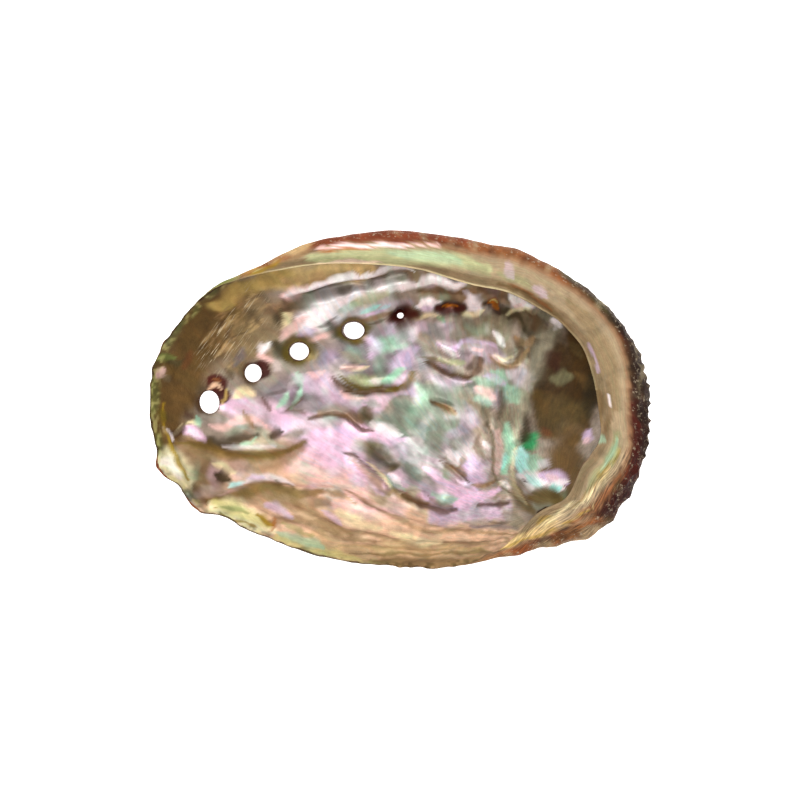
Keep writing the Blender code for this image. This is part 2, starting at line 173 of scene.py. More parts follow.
# Relief of the inside: height in millimetres, half widths in steps on the left and on the right of
# the route, and the route.
RELIEF = rows("""
1.3 4 4: 286,297 298,291 310,289 327,283 349,279 376,273 392,270
-1.5 5 5: 284,305 300,299 318,293 343,286 369,280
-1.1 3.5 3.5: 366,279 376,281 387,277 403,275 416,276
1.3 4 13: 298,314 316,305 330,301 343,295 361,290 376,290 398,284 430,278 441,281 452,284 461,281
    475,281 500,291 520,302
-1.2 7 7: 345,380 365,382 385,379 408,374
0.8 3.6 5: 341,385 350,390 365,391 381,387 395,392 414,386
0.6 2 3: 338,369 361,365
-0.9 9 8: 420,348 445,360 478,374
0.6 3 6: 424,362 441,373 457,380 472,380 486,366
0.6 3 4: 430,342 450,350 466,356
0.6 3 3: 489,355 500,363 511,366 526,362
-0.6 2.6 3: 430,400 443,404 457,410
1.1 5 3: 303,420 322,414 333,411 346,414 354,421 365,429 375,431
-1 7 6: 372,447 385,460 397,472
1.1 3 6: 345,453 354,456 365,464 376,473 387,481 395,491 403,496 419,493 434,496
0.6 2.5 4: 398,498 414,506 430,509 446,511 459,508
0.8 2.5 4: 436,457 452,468 461,476 472,486
-1.3 7 5: 200,438 225,443 250,445 275,442 299,436
1.3 4 7: 170,441 190,446 208,450 230,456 256,458 278,455 303,444
1.4 5 8: 203,504 225,498 240,491 255,487 270,487 290,491 318,492 345,497
0.8 3 5: 315,489 345,494 365,508 395,518 430,528 470,532 510,528
0.7 3 4: 296,510 327,524 349,532 376,538 410,544 470,546 520,540
0.6 3 3: 250,508 290,525 330,540 376,549 430,554 490,549
-0.8 5 5: 176,454 186,467 193,482 197,496 206,506
0.9 3 3: 165,428 171,446 180,462 189,477
0.25 2 2: 487,419 492,432 494,452 494,472 498,488 504,497 514,505
0.6 3 3: 476,486 495,489 508,486
0.6 3 3: 478,510 508,512 520,508
-0.7 3 3: 262,398 280,396 292,391
""")
BACK_SHARE = 0.7  # share of the largest of these that shows on the back, and how much wider it is
BACK_SPREAD = 3
# Round lumps and pits of the inside: height, place and radius.
LUMPS = [
    (-1.3, (226, 478), 9), (-0.8, (370, 414), 8), (1.2, (428, 304), 9), (1.0, (475, 301), 7),
    (1.0, (522, 303), 8), (-1.8, (406, 318), 11), (-1.6, (452, 308), 8), (-1.1, (492, 306), 5),
    (-1.5, (517, 326), 9), (0.6, (504, 342), 10), (1.0, (322, 322), 12), (0.8, (372, 308), 9),
    (0.9, (268, 349), 7), (0.8, (170, 374), 5), (-0.6, (172, 362), 5), (-0.8, (296, 392), 6),
    (-0.8, (417, 474), 9), (-0.9, (442, 500), 7),
]

# Colours, as they look on a screen before the contrast is raised. In the washes and marks, white and silver
# mostly stand for painted highlights and sheen, slate for painted shade in troughs and pits, and cavity for
# the pearl's dark olive-brown with painted shadow of the overhanging shelf.
CONTRAST = 1.22
COLOURS = {
    "pearl": (0.66, 0.61, 0.56), "pink": (0.95, 0.82, 0.92), "rose": (0.95, 0.81, 0.79),
    "lilac": (0.51, 0.48, 0.51), "lavender": (0.85, 0.76, 0.87), "mint": (0.66, 0.82, 0.72),
    "grey mint": (0.51, 0.55, 0.50), "aqua": (0.66, 0.94, 0.91), "emerald": (0.28, 0.68, 0.46),
    "white": (1.00, 0.97, 0.98), "silver": (0.82, 0.79, 0.81), "peach": (0.89, 0.76, 0.65),
    "cream": (0.96, 0.90, 0.74), "straw": (0.88, 0.86, 0.60), "sand": (0.78, 0.67, 0.50),
    "tan": (0.62, 0.51, 0.37), "dull tan": (0.58, 0.49, 0.34), "brown": (0.45, 0.35, 0.19),
    "wood": (0.40, 0.29, 0.16), "dark brown": (0.28, 0.17, 0.08), "olive": (0.40, 0.33, 0.19),
    "cavity": (0.31, 0.22, 0.05), "dark olive": (0.20, 0.18, 0.07), "slate": (0.29, 0.24, 0.13),
    "grey": (0.52, 0.47, 0.37), "stone": (0.60, 0.57, 0.49), "gold": (0.68, 0.57, 0.16),
    "amber": (0.70, 0.44, 0.08), "ochre": (0.52, 0.43, 0.22), "blood": (0.30, 0.08, 0.02),
    "khaki": (0.47, 0.40, 0.14), "sage": (0.75, 0.76, 0.60), "green": (0.52, 0.58, 0.34),
    "shelf": (0.68, 0.61, 0.50), "shelf tan": (0.58, 0.50, 0.37), "shelf brown": (0.50, 0.41, 0.28),
    "shelf sage": (0.62, 0.62, 0.47), "brick": (0.53, 0.28, 0.16), "rust": (0.58, 0.38, 0.22),
    "maroon": (0.29, 0.08, 0.03), "moss": (0.31, 0.29, 0.17), "charcoal": (0.20, 0.10, 0.01),
    "chalk": (0.74, 0.68, 0.55), "straw tan": (0.75, 0.65, 0.41), "ivory": (1.00, 0.96, 0.82),
    "light sand": (0.88, 0.77, 0.56), "red brown": (0.34, 0.10, 0.02), "bright aqua": (0.80, 1.00, 0.98),
}

# Washes over the inside: colour, strength, half width in steps, and route. The cavity and olive washes round
# the spire are the pearl's dark olive-brown with painted shadow of the overhanging shelf, and the silver
# washes are painted sheen.
WASHES = rows("""
peach 0.95 44: 215,520 280,520 330,520 430,545 540,545
sand 0.6 11: 300,538 350,553 430,558 520,549
peach 0.9 30: 225,470 275,470 310,478
rose 0.85 22: 290,462 330,468 360,488
pink 0.95 24: 285,425 330,442 365,472
pink 0.85 11: 380,484 420,486 450,498 480,503
rose 0.8 12: 335,503 365,511 398,514
peach 0.8 10: 360,521 400,523 435,525
lilac 0.85 22: 268,392 300,390 345,400 372,412
pink 0.5 9: 292,372 320,382 345,398 372,402 400,398
pink 0.6 12: 228,402 250,412 290,420
silver 0.7 13: 458,436 468,452
lavender 0.75 13: 474,462 474,492
tan 0.85 18: 186,444 205,475 210,498
grey mint 0.9 28: 392,425 430,420 480,405
grey mint 0.7 16: 380,440 410,470 436,484
grey 0.7 14: 362,412 376,450 392,468
pink 0.9 8: 334,430 360,432 385,434 404,438
silver 0.75 16: 400,448 440,462
lilac 0.9 26: 330,356 380,350 420,362
lavender 0.6 10: 420,395 400,380 412,350
grey 0.85 24: 425,325 470,335 505,325
tan 0.7 11: 424,292 460,293 505,299
silver 0.6 20: 300,312 345,305 380,300
brown 1 40: 170,425 182,370 210,322 248,292
brown 1 26: 160,455 168,400 190,370
dull tan 0.8 24: 238,368 255,335 285,308
light sand 0.95 12: 262,288 300,276 350,271 372,270
straw tan 0.9 12: 214,306 250,286 292,276
tan 0.7 10: 380,272 450,276 510,292
olive 0.8 15: 508,316 528,322 545,334
stone 0.9 13: 556,334 538,356 528,384 516,416 508,446
grey 0.6 14: 478,398 484,430
grey mint 0.7 12: 470,388 500,384 520,380
cavity 1 34: 580,335 588,385 582,420
cavity 0.95 22: 558,345 553,400 552,424
brown 0.95 24: 572,448 566,470 560,500
lavender 0.75 11: 438,512 466,518 505,520
peach 0.8 8: 400,538 455,541 500,541 545,533
olive 0.9 18: 540,404 556,420 588,416
brown 0.7 10: 546,436 566,440 586,436
""")
# Crisper marks over the washes. The white strokes are painted highlights on crests and bulges, the slate
# strokes are painted shade in troughs and pits, and the wood, tan and ochre lines along the folds are partly
# the pearl's own brown and partly painted shade on the folds' steep sides.
# folds, with painted highlights on their crests, brown lines that are partly painted shade on their steep
# sides, and slate spots of painted shade in pits
# lower left flaps, with painted highlights on the flaps
# pits, with brown lower edges that are partly painted shade, and painted highlights inside
# spire side, with painted shade in the cavity under the shelf and painted highlights at its bottom and on the
# ridge top
# under the shelf and along the hole row, with painted highlights on the crests and painted shade in the
# troughs
MARKS = rows("""
# under the shelf and along the hole row
sand 0.7 5: 286,281 310,277 345,271
tan 0.6 3: 300,285 320,280 345,275 370,269
rose 0.95 6: 281,297 292,294 307,287
white 0.7 4: 284,296 293,293 305,288
white 0.95 3.6: 306,289 327,283 349,278 374,273
white 0.8 3: 374,272 386,269 404,269 416,271
maroon 0.6 5: 282,300 285,308 286,314
wood 0.7 4: 286,314 284,324
cream 0.8 4: 286,315 290,320 284,328
white 0.97 6: 300,320 316,311 330,304 343,298 361,293 378,290 398,285
white 1 13: 306,330 318,319 332,310 348,302
slate 0.7 6: 288,308 302,303 320,296 350,288
slate 0.55 4: 340,292 360,287 376,283 392,279 406,277
white 0.9 3.2: 308,288 328,282 350,277 368,273
slate 0.7 3.5: 281,308 279,318 282,328
rose 0.8 5: 284,338 294,330 306,318
lavender 0.6 5: 302,338 314,330
rose 0.85 3: 312,342 322,336 332,331
slate 0.7 2.5: 318,326 326,322 334,318
white 1 4.5: 400,285 416,282 427,278 436,276 445,279 454,283 466,280 480,281
slate 0.7 2.2: 445,273 455,278 466,276
wood 0.6 5: 420,290 440,288 462,292
wood 0.6 4: 480,287 505,297 520,300
sage 0.7 6: 350,303 366,297 385,292
mint 0.5 5: 340,310 354,304
aqua 0.6 3: 362,312 370,307 378,304
lavender 0.8 3: 368,314 380,309 388,304
aqua 0.5 2: 378,308 388,305
tan 0.7 3: 366,320 378,317 390,313
slate 0.6 2: 374,324 386,320
white 0.97 7: 418,307 428,303 439,303
lavender 0.7 3: 422,309 434,308
stone 0.7 2.5: 416,298 428,294 440,295
cream 0.6 2: 408,324 418,319 430,316 442,317
white 0.97 7.5: 470,294 474,302 478,309
silver 0.8 4: 464,290 470,293
cream 0.7 3: 462,312 472,313 484,311
white 1 7: 512,297 520,302 531,307
rose 0.6 3: 516,306 524,304
cream 0.7 3: 508,318 516,311 528,310 536,314
stone 0.9 5: 493,328 500,337 505,346 510,353
white 0.7 3: 494,333 499,338 503,344
cream 0.4 2: 492,353 502,358 512,356
wood 0.85 5: 517,338 523,350 518,360
slate 0.8 5: 527,334 537,342 531,356
slate 0.5 4: 462,352 474,354
grey mint 0.7 7: 400,330 408,342
grey mint 0.6 7: 432,326 444,336
khaki 0.6 4: 352,343 362,341 370,334
khaki 0.7 4.5: 311,358 318,352 318,344
silver 0.2 9: 440,324 452,328 462,334
emerald 0.35 3: 440,318 447,321
mint 0.6 6: 492,372 500,376 506,384
mint 0.7 8: 508,388 516,396 520,404
rose 0.7 6: 476,390 486,392 494,397
lavender 0.6 4: 482,376 494,378 506,384
mint 0.5 6: 480,400 490,404
silver 0.8 9: 512,372 524,378 530,388
mint 0.5 6: 472,378 486,382 500,380
slate 0.6 4: 502,392 503,408 500,420
slate 0.5 3: 472,404 486,410 498,408
wood 0.7 4: 528,312 538,320 536,330
dark brown 0.5 3: 536,312 546,318 548,326
tan 0.7 3: 517,338 528,344 536,338
stone 0.7 3: 538,312 548,318 553,324
stone 0.6 2: 538,337 548,334 556,326
slate 0.7 4: 510,322 518,318 524,326
slate 0.5 3: 526,330 524,342 516,352
white 0.85 4: 261,354 265,348 270,343
rose 0.8 4: 260,356 272,360
slate 0.85 6: 277,343 284,350 288,358
slate 0.8 5: 328,322 334,330 340,334
lilac 0.6 5: 242,352 236,366
# pits
stone 0.7 4: 340,350 352,358 366,361
cream 0.5 2: 342,366 354,369 368,366
mint 0.6 8: 374,350 388,344 402,346
lavender 0.6 6: 366,338 376,346 372,356
sage 0.8 5: 350,378 366,381 385,379
white 0.6 3: 372,380 385,380
mint 0.9 4: 384,380 394,377 404,371
khaki 0.9 2.5: 338,376 350,384 364,388 382,386
wood 0.95 3.5: 340,384 352,391 365,392 381,390 394,392 404,386
khaki 0.85 4: 388,392 400,390 410,384 414,374
wood 0.9 4: 333,379 341,386 352,391
grey mint 0.7 5: 366,401 380,405
rose 0.6 3: 340,369 361,366
rose 0.7 2.5: 340,391 352,397 368,398
lavender 0.7 2.5: 438,343 446,347 455,348 464,342
white 0.8 3: 442,346 450,351 460,356
stone 0.7 4: 424,346 436,352 450,358
khaki 0.6 2: 420,356 434,359 448,364 460,366
sage 0.7 3: 440,360 452,363 465,363
wood 0.9 4: 424,361 438,369 452,378 466,378 478,370 482,360
dark brown 0.6 3: 466,370 474,364 480,358
lavender 0.5 3: 462,341 480,343 493,345
rose 0.6 2.5: 474,350 486,352
tan 0.8 3: 489,355 500,363 511,366 522,360 530,350
lavender 0.35 4: 430,378 448,384 470,382
wood 0.9 2.6: 430,401 442,405 455,411
tan 0.7 3: 436,404 448,409 456,414
mint 0.6 5: 420,386 424,394 422,402
lilac 0.6 5: 422,362 426,374 424,382
stone 0.6 7: 456,392 470,398
# folds
wood 0.85 3.2: 307,420 320,415 333,413 346,417 354,424 363,430 374,431
tan 0.6 5: 320,411 338,409 352,415 362,424
olive 0.8 6: 366,408 372,420
slate 0.75 6: 374,448 386,458 396,468
olive 0.4 8: 370,446 384,456
wood 0.85 3.6: 346,455 354,459 365,467 376,477 387,485 395,494 404,499
tan 0.7 3: 350,462 364,472 378,484 392,496
tan 0.8 6: 396,492 412,498 430,502
wood 0.85 4: 404,497 418,501 430,506 444,511 456,510
cream 0.7 2.5: 366,462 376,470 386,480 392,488
mint 0.6 4: 388,478 396,486 406,490
wood 0.8 3: 440,461 452,469 461,477 470,484
tan 0.7 4: 446,458 456,466 466,476
white 0.7 6: 374,424 388,430 402,434
silver 0.2 5: 304,402 320,406 344,410
white 0.7 3: 390,476 397,481 404,487
grey mint 0.85 8: 408,466 420,478
mint 0.75 5: 434,493 448,498 456,499
sage 0.5 4: 408,490 422,492
grey 0.7 3: 430,494 440,502 452,506
lilac 0.45 5: 464,428 472,442
white 0.6 6: 448,452 458,464
white 0.5 7: 408,440 424,448
pink 0.8 4: 424,466 440,478 460,492 480,500
silver 0.7 5: 462,512 466,522
tan 0.8 2.5: 472,487 484,490 496,488
wood 0.8 3: 478,508 494,511 508,511
pink 0.85 5: 470,496 486,500 500,498
stone 0.5 5: 466,524 490,528 514,527
lilac 0.6 3: 470,528 492,531 516,529
slate 0.5 1.5: 486,524 500,527 512,524
stone 0.8 6: 506,518 514,522 522,522
rose 0.8 5: 232,424 248,421 266,427
slate 0.85 6.5: 206,443 222,444 240,441 258,437
slate 0.85 5: 272,438 278,434 284,432
grey 0.7 5: 286,437 300,433
mint 0.7 2.5: 244,446 252,444 256,440
white 0.6 2.5: 226,446 238,448 260,448 275,446
pink 0.95 5: 186,428 194,434 204,443
white 0.5 3: 190,432 200,439
rose 0.7 4: 208,426 222,430 236,424
cream 0.8 2: 176,434 184,427 192,424 200,428
mint 0.7 4: 197,418 200,428
tan 0.8 3: 242,412 248,422 256,430
wood 0.7 2: 262,398 266,406 270,412
cream 0.8 4: 236,398 244,392 252,394
pink 0.7 5: 228,402 232,410
mint 0.8 3: 277,408 284,400 288,392
mint 0.6 2.5: 290,408 298,396 302,386
wood 0.7 1.6: 284,412 294,404 306,394
wood 0.5 2: 282,414 296,410 304,414
mint 0.5 5: 296,372 300,384
rose 0.6 3: 308,372 316,376 326,372
tan 0.7 9: 190,449 212,456 232,463 256,466 280,461 300,450
ochre 0.9 6: 178,443 208,449 230,456 256,458 278,455 304,443
cream 0.6 3: 214,464 226,468 234,474
slate 0.95 7: 218,474 231,480
white 0.8 4: 238,486 254,482 272,481 292,485
bright aqua 0.7 2.6: 230,487 244,483
lavender 0.6 3: 248,480 262,480
rose 0.8 2: 220,496 234,492 248,490
grey 0.7 2: 274,482 278,488 288,486 294,491
tan 0.7 9: 232,501 252,497 270,498 296,503 330,503
ochre 0.85 6: 209,503 235,496 252,491 262,490 284,494 322,493
tan 0.7 6: 290,500 310,514 330,526 350,534
tan 0.8 2.5: 300,495 316,494 330,494 346,499 357,506
tan 0.7 2.5: 347,493 361,499 371,506 383,512 396,519 409,525 430,531 452,533 490,536 530,534
tan 0.7 4: 260,520 280,520 300,519 311,524 327,530 349,538 376,543
tan 0.5 2: 376,543 398,546 419,547 470,548 510,543
tan 0.7 2.5: 329,524 349,532 369,535 392,542 419,548
sand 0.7 2: 340,545 380,551 430,553 480,552
tan 0.6 1.6: 400,538 430,543 470,546 510,540
cream 0.7 6: 340,513 357,522 378,529
lavender 0.5 3: 324,512 332,518 342,524
cream 0.7 5: 393,534 415,541 441,545
lavender 0.6 3.4: 266,506 278,510 292,517
lavender 0.5 5: 350,478 362,486
cream 0.5 5: 292,474 304,482
# lower left flaps
ivory 1 12: 156,464 168,461 177,469 188,484
white 0.6 6: 160,464 170,461 182,476
sage 0.4 3: 184,472 190,484 194,494
wood 0.6 5: 196,484 200,498 208,504
ivory 0.9 10: 214,508 232,511 250,522 272,530
straw 0.7 6: 216,503 232,508 250,519 268,526
green 0.5 2: 222,506 236,508 246,514
straw 0.6 5: 276,535 300,546 330,553 360,559
mint 0.6 4: 276,531 300,541 324,548
green 0.5 2: 280,522 296,530 312,538
dark brown 0.85 3.5: 172,434 180,432 188,424
maroon 0.6 4: 188,414 192,420
white 1 2.5: 166,427 170,433 174,440
gold 0.9 2.2: 165,404 166,424 172,447 180,463 190,479
khaki 0.7 4: 162,410 166,422
gold 0.8 1.3: 217,508 230,518 246,525
gold 0.95 4: 256,516 264,521 272,524
amber 0.7 2.2: 273,518 272,526 268,532
gold 0.8 2: 246,526 254,528
ochre 0.7 4: 370,562 420,564 490,562
khaki 0.6 1.2: 350,553 390,556 440,557 480,554 506,549
# spire side
mint 0.9 6: 509,428 510,446 508,462 506,478
aqua 0.6 3: 504,458 504,474
rose 0.5 4: 499,434 499,458 498,478
pearl 0.4 3: 498,440 498,470
emerald 0.95 6.5: 525,448 530,444 536,437
mint 0.85 8: 528,458 534,464 532,474
bright aqua 1 6.5: 521,452 522,464 523,478
slate 0.9 5: 526,418 527,432 523,442
white 0.97 8: 522,482 534,483 546,485
aqua 0.6 4: 528,478 542,488
brown 0.6 7: 556,458 566,464 578,471
lavender 0.95 6: 542,478 556,479 567,486
rose 0.6 3: 548,477 560,482
white 0.8 4: 550,486 565,490
silver 0.6 5: 540,464 549,468
aqua 0.9 3.5: 552,489 562,489
white 0.8 3: 558,485 568,484
lavender 0.8 5: 585,442 592,432
rose 0.6 2.5: 584,444 590,440
brick 0.4 4: 546,428 550,436
ochre 0.85 8: 528,500 545,498 560,500
ochre 0.75 6: 514,493 520,504 532,512
olive 0.7 5: 532,494 548,493 558,497
white 0.95 4: 554,321 558,325 556,330
stone 0.7 6: 556,330 546,344 540,356 535,372 528,396 521,420 516,442
cream 0.45 2.6: 517,450 515,460 514,478 514,490 517,500 524,507
stone 0.6 2: 510,470 511,486 514,498 522,506
grey 0.7 4: 470,402 486,412 491,424
grey mint 0.6 5: 428,387 446,391 462,390
grey 0.8 1.3: 487,417 492,432 494,452 494,472 498,488 504,497 514,505 527,510
slate 0.6 4: 484,410 488,420 487,432
wood 0.5 3: 480,436 478,446 484,456
white 0.45 3: 484,442 489,449
sage 0.22 8: 554,377 568,377
olive 0.6 5: 574,344 582,356
brown 0.6 4: 574,372 584,382 588,392
blood 0.5 8: 550,352 556,366
dark olive 0.6 8: 590,376 593,400 590,416
brown 0.5 8: 540,392 548,410
dark brown 1 1.6: 536,512 548,506
charcoal 0.9 1.8: 525,485 527,485
# left zone
rose 0.7 5: 160,376 165,370
grey 0.6 4: 172,380 168,376
green 0.6 4: 156,362 164,357 174,358
moss 0.7 3: 172,362 180,364 184,360
brick 0.35 5: 186,368 190,358 192,350
slate 0.6 3: 228,372 233,380
slate 0.5 4: 248,312 254,318 258,324
brick 0.25 6: 268,314 278,306
# holes
wood 0.9 12: 394,318 405,317 416,314
blood 0.97 10: 394,319 404,317 415,315
dark brown 0.95 8: 438,308 451,309 465,306
red brown 0.9 6: 438,309 451,311 463,308
amber 1 1.3: 443,307 450,308 458,307
dark brown 0.95 6: 486,305 494,308 499,316
amber 0.9 3.6: 487,306 492,304 497,310
straw 0.7 1.1: 489,304 492,302 496,304
slate 0.7 4: 502,306 505,314
""")
# Pale fibres: how many, the line that they lie along, their spread to the side, their direction
# and how it varies, in radians, and their shortest and longest length.
SCRATCHES = 50
SCRATCH_LINE = ((206, 356), (252, 300))
SCRATCH_SPREAD = 11
SCRATCH_LEAN = (0.85, 0.2)
SCRATCH_LENGTH = (9, 24)
# The brown rings round the holes, with their widths in hole radii, and the dark sides of the tubes.
HALOES = [("wood", 1.5), ("wood", 1.6), ("khaki", 2.2), ("khaki", 2.0), ("blood", 2.6)]
WELLS = [((218, 384), 10.5, "red brown"), ((225, 397), 7, "blood"), ((262, 371), 10, "blood")]
# Bits of shell that show in the well of the first hole.
WELL_BITS = rows("""
peach 0.9 2.2: 211,390 217,385 223,390
rust 0.8 1.5: 214,380 222,381
straw tan 0.8 1.6: 226,388 227,396 224,404
""")
# Where the finest fibres cross the brown zone: strength, half width and route.
FIBRES = rows("""
0.9 15: 214,352 236,328 258,300
0.5 12: 212,372 222,346
0.4 12: 246,350 270,320
""")
# Parts of the inside with less gloss: how much less, half width and route.
DULL = rows("""
0.8 40: 170,425 182,370 210,322 255,290
0.5 24: 238,368 255,335
0.6 13: 250,285 300,272 370,267
0.9 34: 578,330 585,385 580,425
0.85 22: 556,345 553,400 552,424
0.6 20: 572,448 562,470
0.4 20: 508,318 545,334
0.45 34: 240,515 330,545 430,552 540,545
0.5 20: 545,404 560,440 590,424
""")
# Marks on the shelf and the rim, in the form of the washes. The thin white and lavender lines are painted
# highlights along the rim and where the shelf turns down.
SHELF_MARKS = rows("""
sage 0.9 8: 310,259 350,257 400,257 450,260 490,270
mint 0.35 6: 390,253 436,256 460,262
shelf tan 0.75 8: 570,300 594,330 611,372 616,410
shelf sage 0.6 5: 500,272 520,280 530,288
shelf brown 0.8 4.5: 500,284 530,297 556,317 578,345 594,382 601,410 598,440
shelf brown 0.6 3: 608,380 611,410 606,436
mint 0.5 4: 600,438 606,442
shelf sage 0.9 6: 618,436 612,460 600,478 588,492
mint 0.5 3: 618,440 614,454 604,470
brick 0.9 3: 308,246 330,242 365,240 400,240 430,240
rose 0.95 2.2: 284,256 298,251 312,248 333,247 365,247 408,245 440,246
white 0.6 1.4: 333,247 365,247 408,245
amber 0.7 1.6: 318,251 335,250 349,250 374,248
rust 0.5 2: 400,249 430,249 470,253
wood 0.5 1.5: 290,258 304,254 320,251
tan 0.7 3: 280,262 296,257 310,252
rose 0.5 2: 320,264 350,262 380,262
lavender 0.3 4: 506,264 511,272 515,278
lavender 0.35 4: 534,288 542,291 549,298
shelf sage 0.5 4: 470,268 490,276
lavender 0.5 1.5: 590,344 597,358 600,372
white 0.6 1.2: 609,396 611,408
gold 0.6 2: 622,444 616,458 600,478
ochre 0.6 2: 608,470 590,492 570,512
sand 0.7 1.8: 618,462 602,482 580,502
wood 0.7 1.6: 622,468 608,488 588,508
cream 0.5 1.6: 606,480 588,498 570,512
gold 0.5 4: 540,524 552,517
light sand 0.6 4: 556,522 530,535 500,548
rust 0.9 4: 622,476 606,496 584,514 562,530 540,540
wood 0.8 1.8: 600,500 582,516 558,531 538,540
wood 0.5 2: 600,508 574,526 545,541 520,549
sand 0.7 1.6: 592,506 574,520 545,534 510,546
gold 0.6 1.4: 588,510 560,526 530,539 500,549
dark brown 0.7 1.4: 575,524 555,533 530,542
maroon 0.85 4.5: 627,478 617,499 605,509
cream 0.5 2: 574,502 560,514 540,527
wood 0.6 1.3: 512,288 536,301 560,321 580,350 592,382 597,408
rust 0.6 1.6: 508,284 532,296 552,311
gold 0.9 5: 250,273 262,266 282,259
straw 0.8 2.5: 254,270 268,262 284,256
rust 0.6 3: 284,256 300,249 316,245
""")
# Middle of the flaky tail of the shelf, and the place that the swirls of the pearl run round.
TAIL = [(630, 470), (600, 505), (560, 530), (510, 550)]
SWIRL = (560, 505)
# Bands along the edge of the back that is in sight from above.
BACK_MARKS = rows("""
rust 0.9 16: 440,236 480,240 520,250 560,268
brick 0.95 13: 330,240 365,234 400,232 430,234 470,240
green 0.85 9: 186,314 215,290 245,268
sand 0.9 9: 255,262 290,248 312,240
straw tan 0.8 7: 236,275 262,260
moss 0.95 10: 556,262 585,282 610,305 632,340
charcoal 0.97 20: 622,315 640,350 648,390 650,430 645,470 632,500
red brown 0.9 7: 634,405 637,440 632,476 616,504
chalk 0.3 1.6: 632,340 640,370 642,396
rust 0.8 12: 600,520 570,542 530,558
maroon 0.9 8: 632,484 618,502 602,514
wood 0.6 5: 590,522 560,540 530,552
chalk 0.6 4: 600,528 575,544 550,552
tan 0.8 12: 520,562 450,570 380,570
""")

# Hues of the pearl: place on the scale of the noise that picks them, and colour.
HUES = [(0.28, (1.00, 0.74, 0.86)), (0.40, (0.72, 0.98, 0.84)), (0.47, (0.92, 0.86, 0.80)),
        (0.55, (1.00, 0.80, 0.80)), (0.62, (0.70, 0.88, 0.98)), (0.72, (0.98, 0.84, 0.60))]
PLAIN_PEARL = (0.92, 0.92, 0.92, 1)
FIBRE = (0.50, 0.40, 0.26, 1)
CRUST = (0.40, 0.32, 0.22, 1)

LEAST_PEARL = 0.08
SHELF_PEARL = 0.45
# How strong the streaks are inside and on the shelf.
INSIDE_STREAKS = 0.28
SHELF_STREAKS = 0.2
# How far below the turned rim the bands of the back show in full, and over what height they fade out.
SEEN_BELOW = 3.0
FADING = 7.0
CRUST_SHARE = 0.65
BRIGHTNESS = 1.08

# Lights, in metres: place, size of the square, and power in watts.
LIGHTS = {
    "key": ((-0.35, 0.42, 0.9), 0.4, 7.2),
    "fill": ((0.6, -0.3, 0.8), 0.5, 2.8),
    "top": ((0.0, -0.1, 1.4), 0.4, 8.2),
}
LIT_PLACE = (0, 0, 0.02)
WORLD = (1.0, 0.92, 0.80, 1)
WORLD_STRENGTH = 0.34
FLOOR_GREY = (0.9, 0.9, 0.9, 1)
FLOOR_HALF = 3.0
FLOOR_DROP = 0.0002
LENS = 300
SENSOR = 36
FAR_CLIP = 20


def smooth_curve(points, closed=False, steps=12):
    """Points along a Catmull-Rom curve through the given ones."""
    p = np.array(points, float)
    n = len(p)
    ends = (p[-1:], p[:2]) if closed else (2 * p[:1] - p[1:2], 2 * p[-1:] - p[-2:-1])
    q = np.vstack([ends[0], p, ends[1]])
    t = np.linspace(0, 1, steps, endpoint=False)[:, None]
    made = []
    for i in range(n if closed else n - 1):
        a, b, c, d = q[i : i + 4]
        bend = (2 * a - 5 * b + 4 * c - d) * t**2 + (3 * b - a - 3 * c + d) * t**3
        made.append(0.5 * (2 * b + (c - a) * t + bend))
    made.append(p[:1] if closed else p[-1:])
    return np.vstack(made)


def smoothstep(low, high, x):
    t = np.clip((x - low) / (high - low), 0, 1)
    return t * t * (3 - 2 * t)


def span(x, start, full, fading, end):
    """1 from full to fading, and 0 outside start and end."""
    return smoothstep(start, full, x) * smoothstep(end, fading, x)


def away_from(points, centre):
    """Distance of each point from a centre."""
    return np.hypot(*(points - np.array(centre)).T)


def hole_radii(points, hole):
    """Distance of each point from the centre of a hole, counted in the hole's own radii."""
    centre, along, across, _lean = hole
    return np.hypot(*((points - np.array(centre)) / (along, across)).T)


def by_bearing(table, degrees):
    """Sizes from one of the tables against the bearing, at these bearings."""
    angles, values = zip(*sorted((a % 360, v) for a, v in table))
    return np.interp(degrees, angles, values, period=360)


def even_steps(points, count):
    """Points at even steps along a line through the given ones."""
    run = np.concatenate([[0], np.cumsum(np.linalg.norm(np.diff(points, axis=0), axis=1))])
    at = np.linspace(0, run[-1], count)
    return np.column_stack([np.interp(at, run, points[:, k]) for k in range(2)])


def rounded(table, passes, around=False):
    """The table with its corners rounded along each section, or round the shell."""
    for _ in range(passes):
        if around:
            table = (np.roll(table, 1, axis=0) + 2 * table + np.roll(table, -1, axis=0)) / 4
        else:
            table = table.copy()
            table[:, 1:-1] = (table[:, :-2] + 2 * table[:, 1:-1] + table[:, 2:]) / 4
    return table


def radius_by_bearing(curve, degrees):
    """How far a curve round the crown is from it, at these bearings."""
    away = curve - np.array(CROWN)
    bearing = np.degrees(np.arctan2(away[:, 1], away[:, 0])) % 360
    order = np.argsort(bearing)
    return np.interp(degrees, bearing[order], np.hypot(*away.T)[order], period=360)


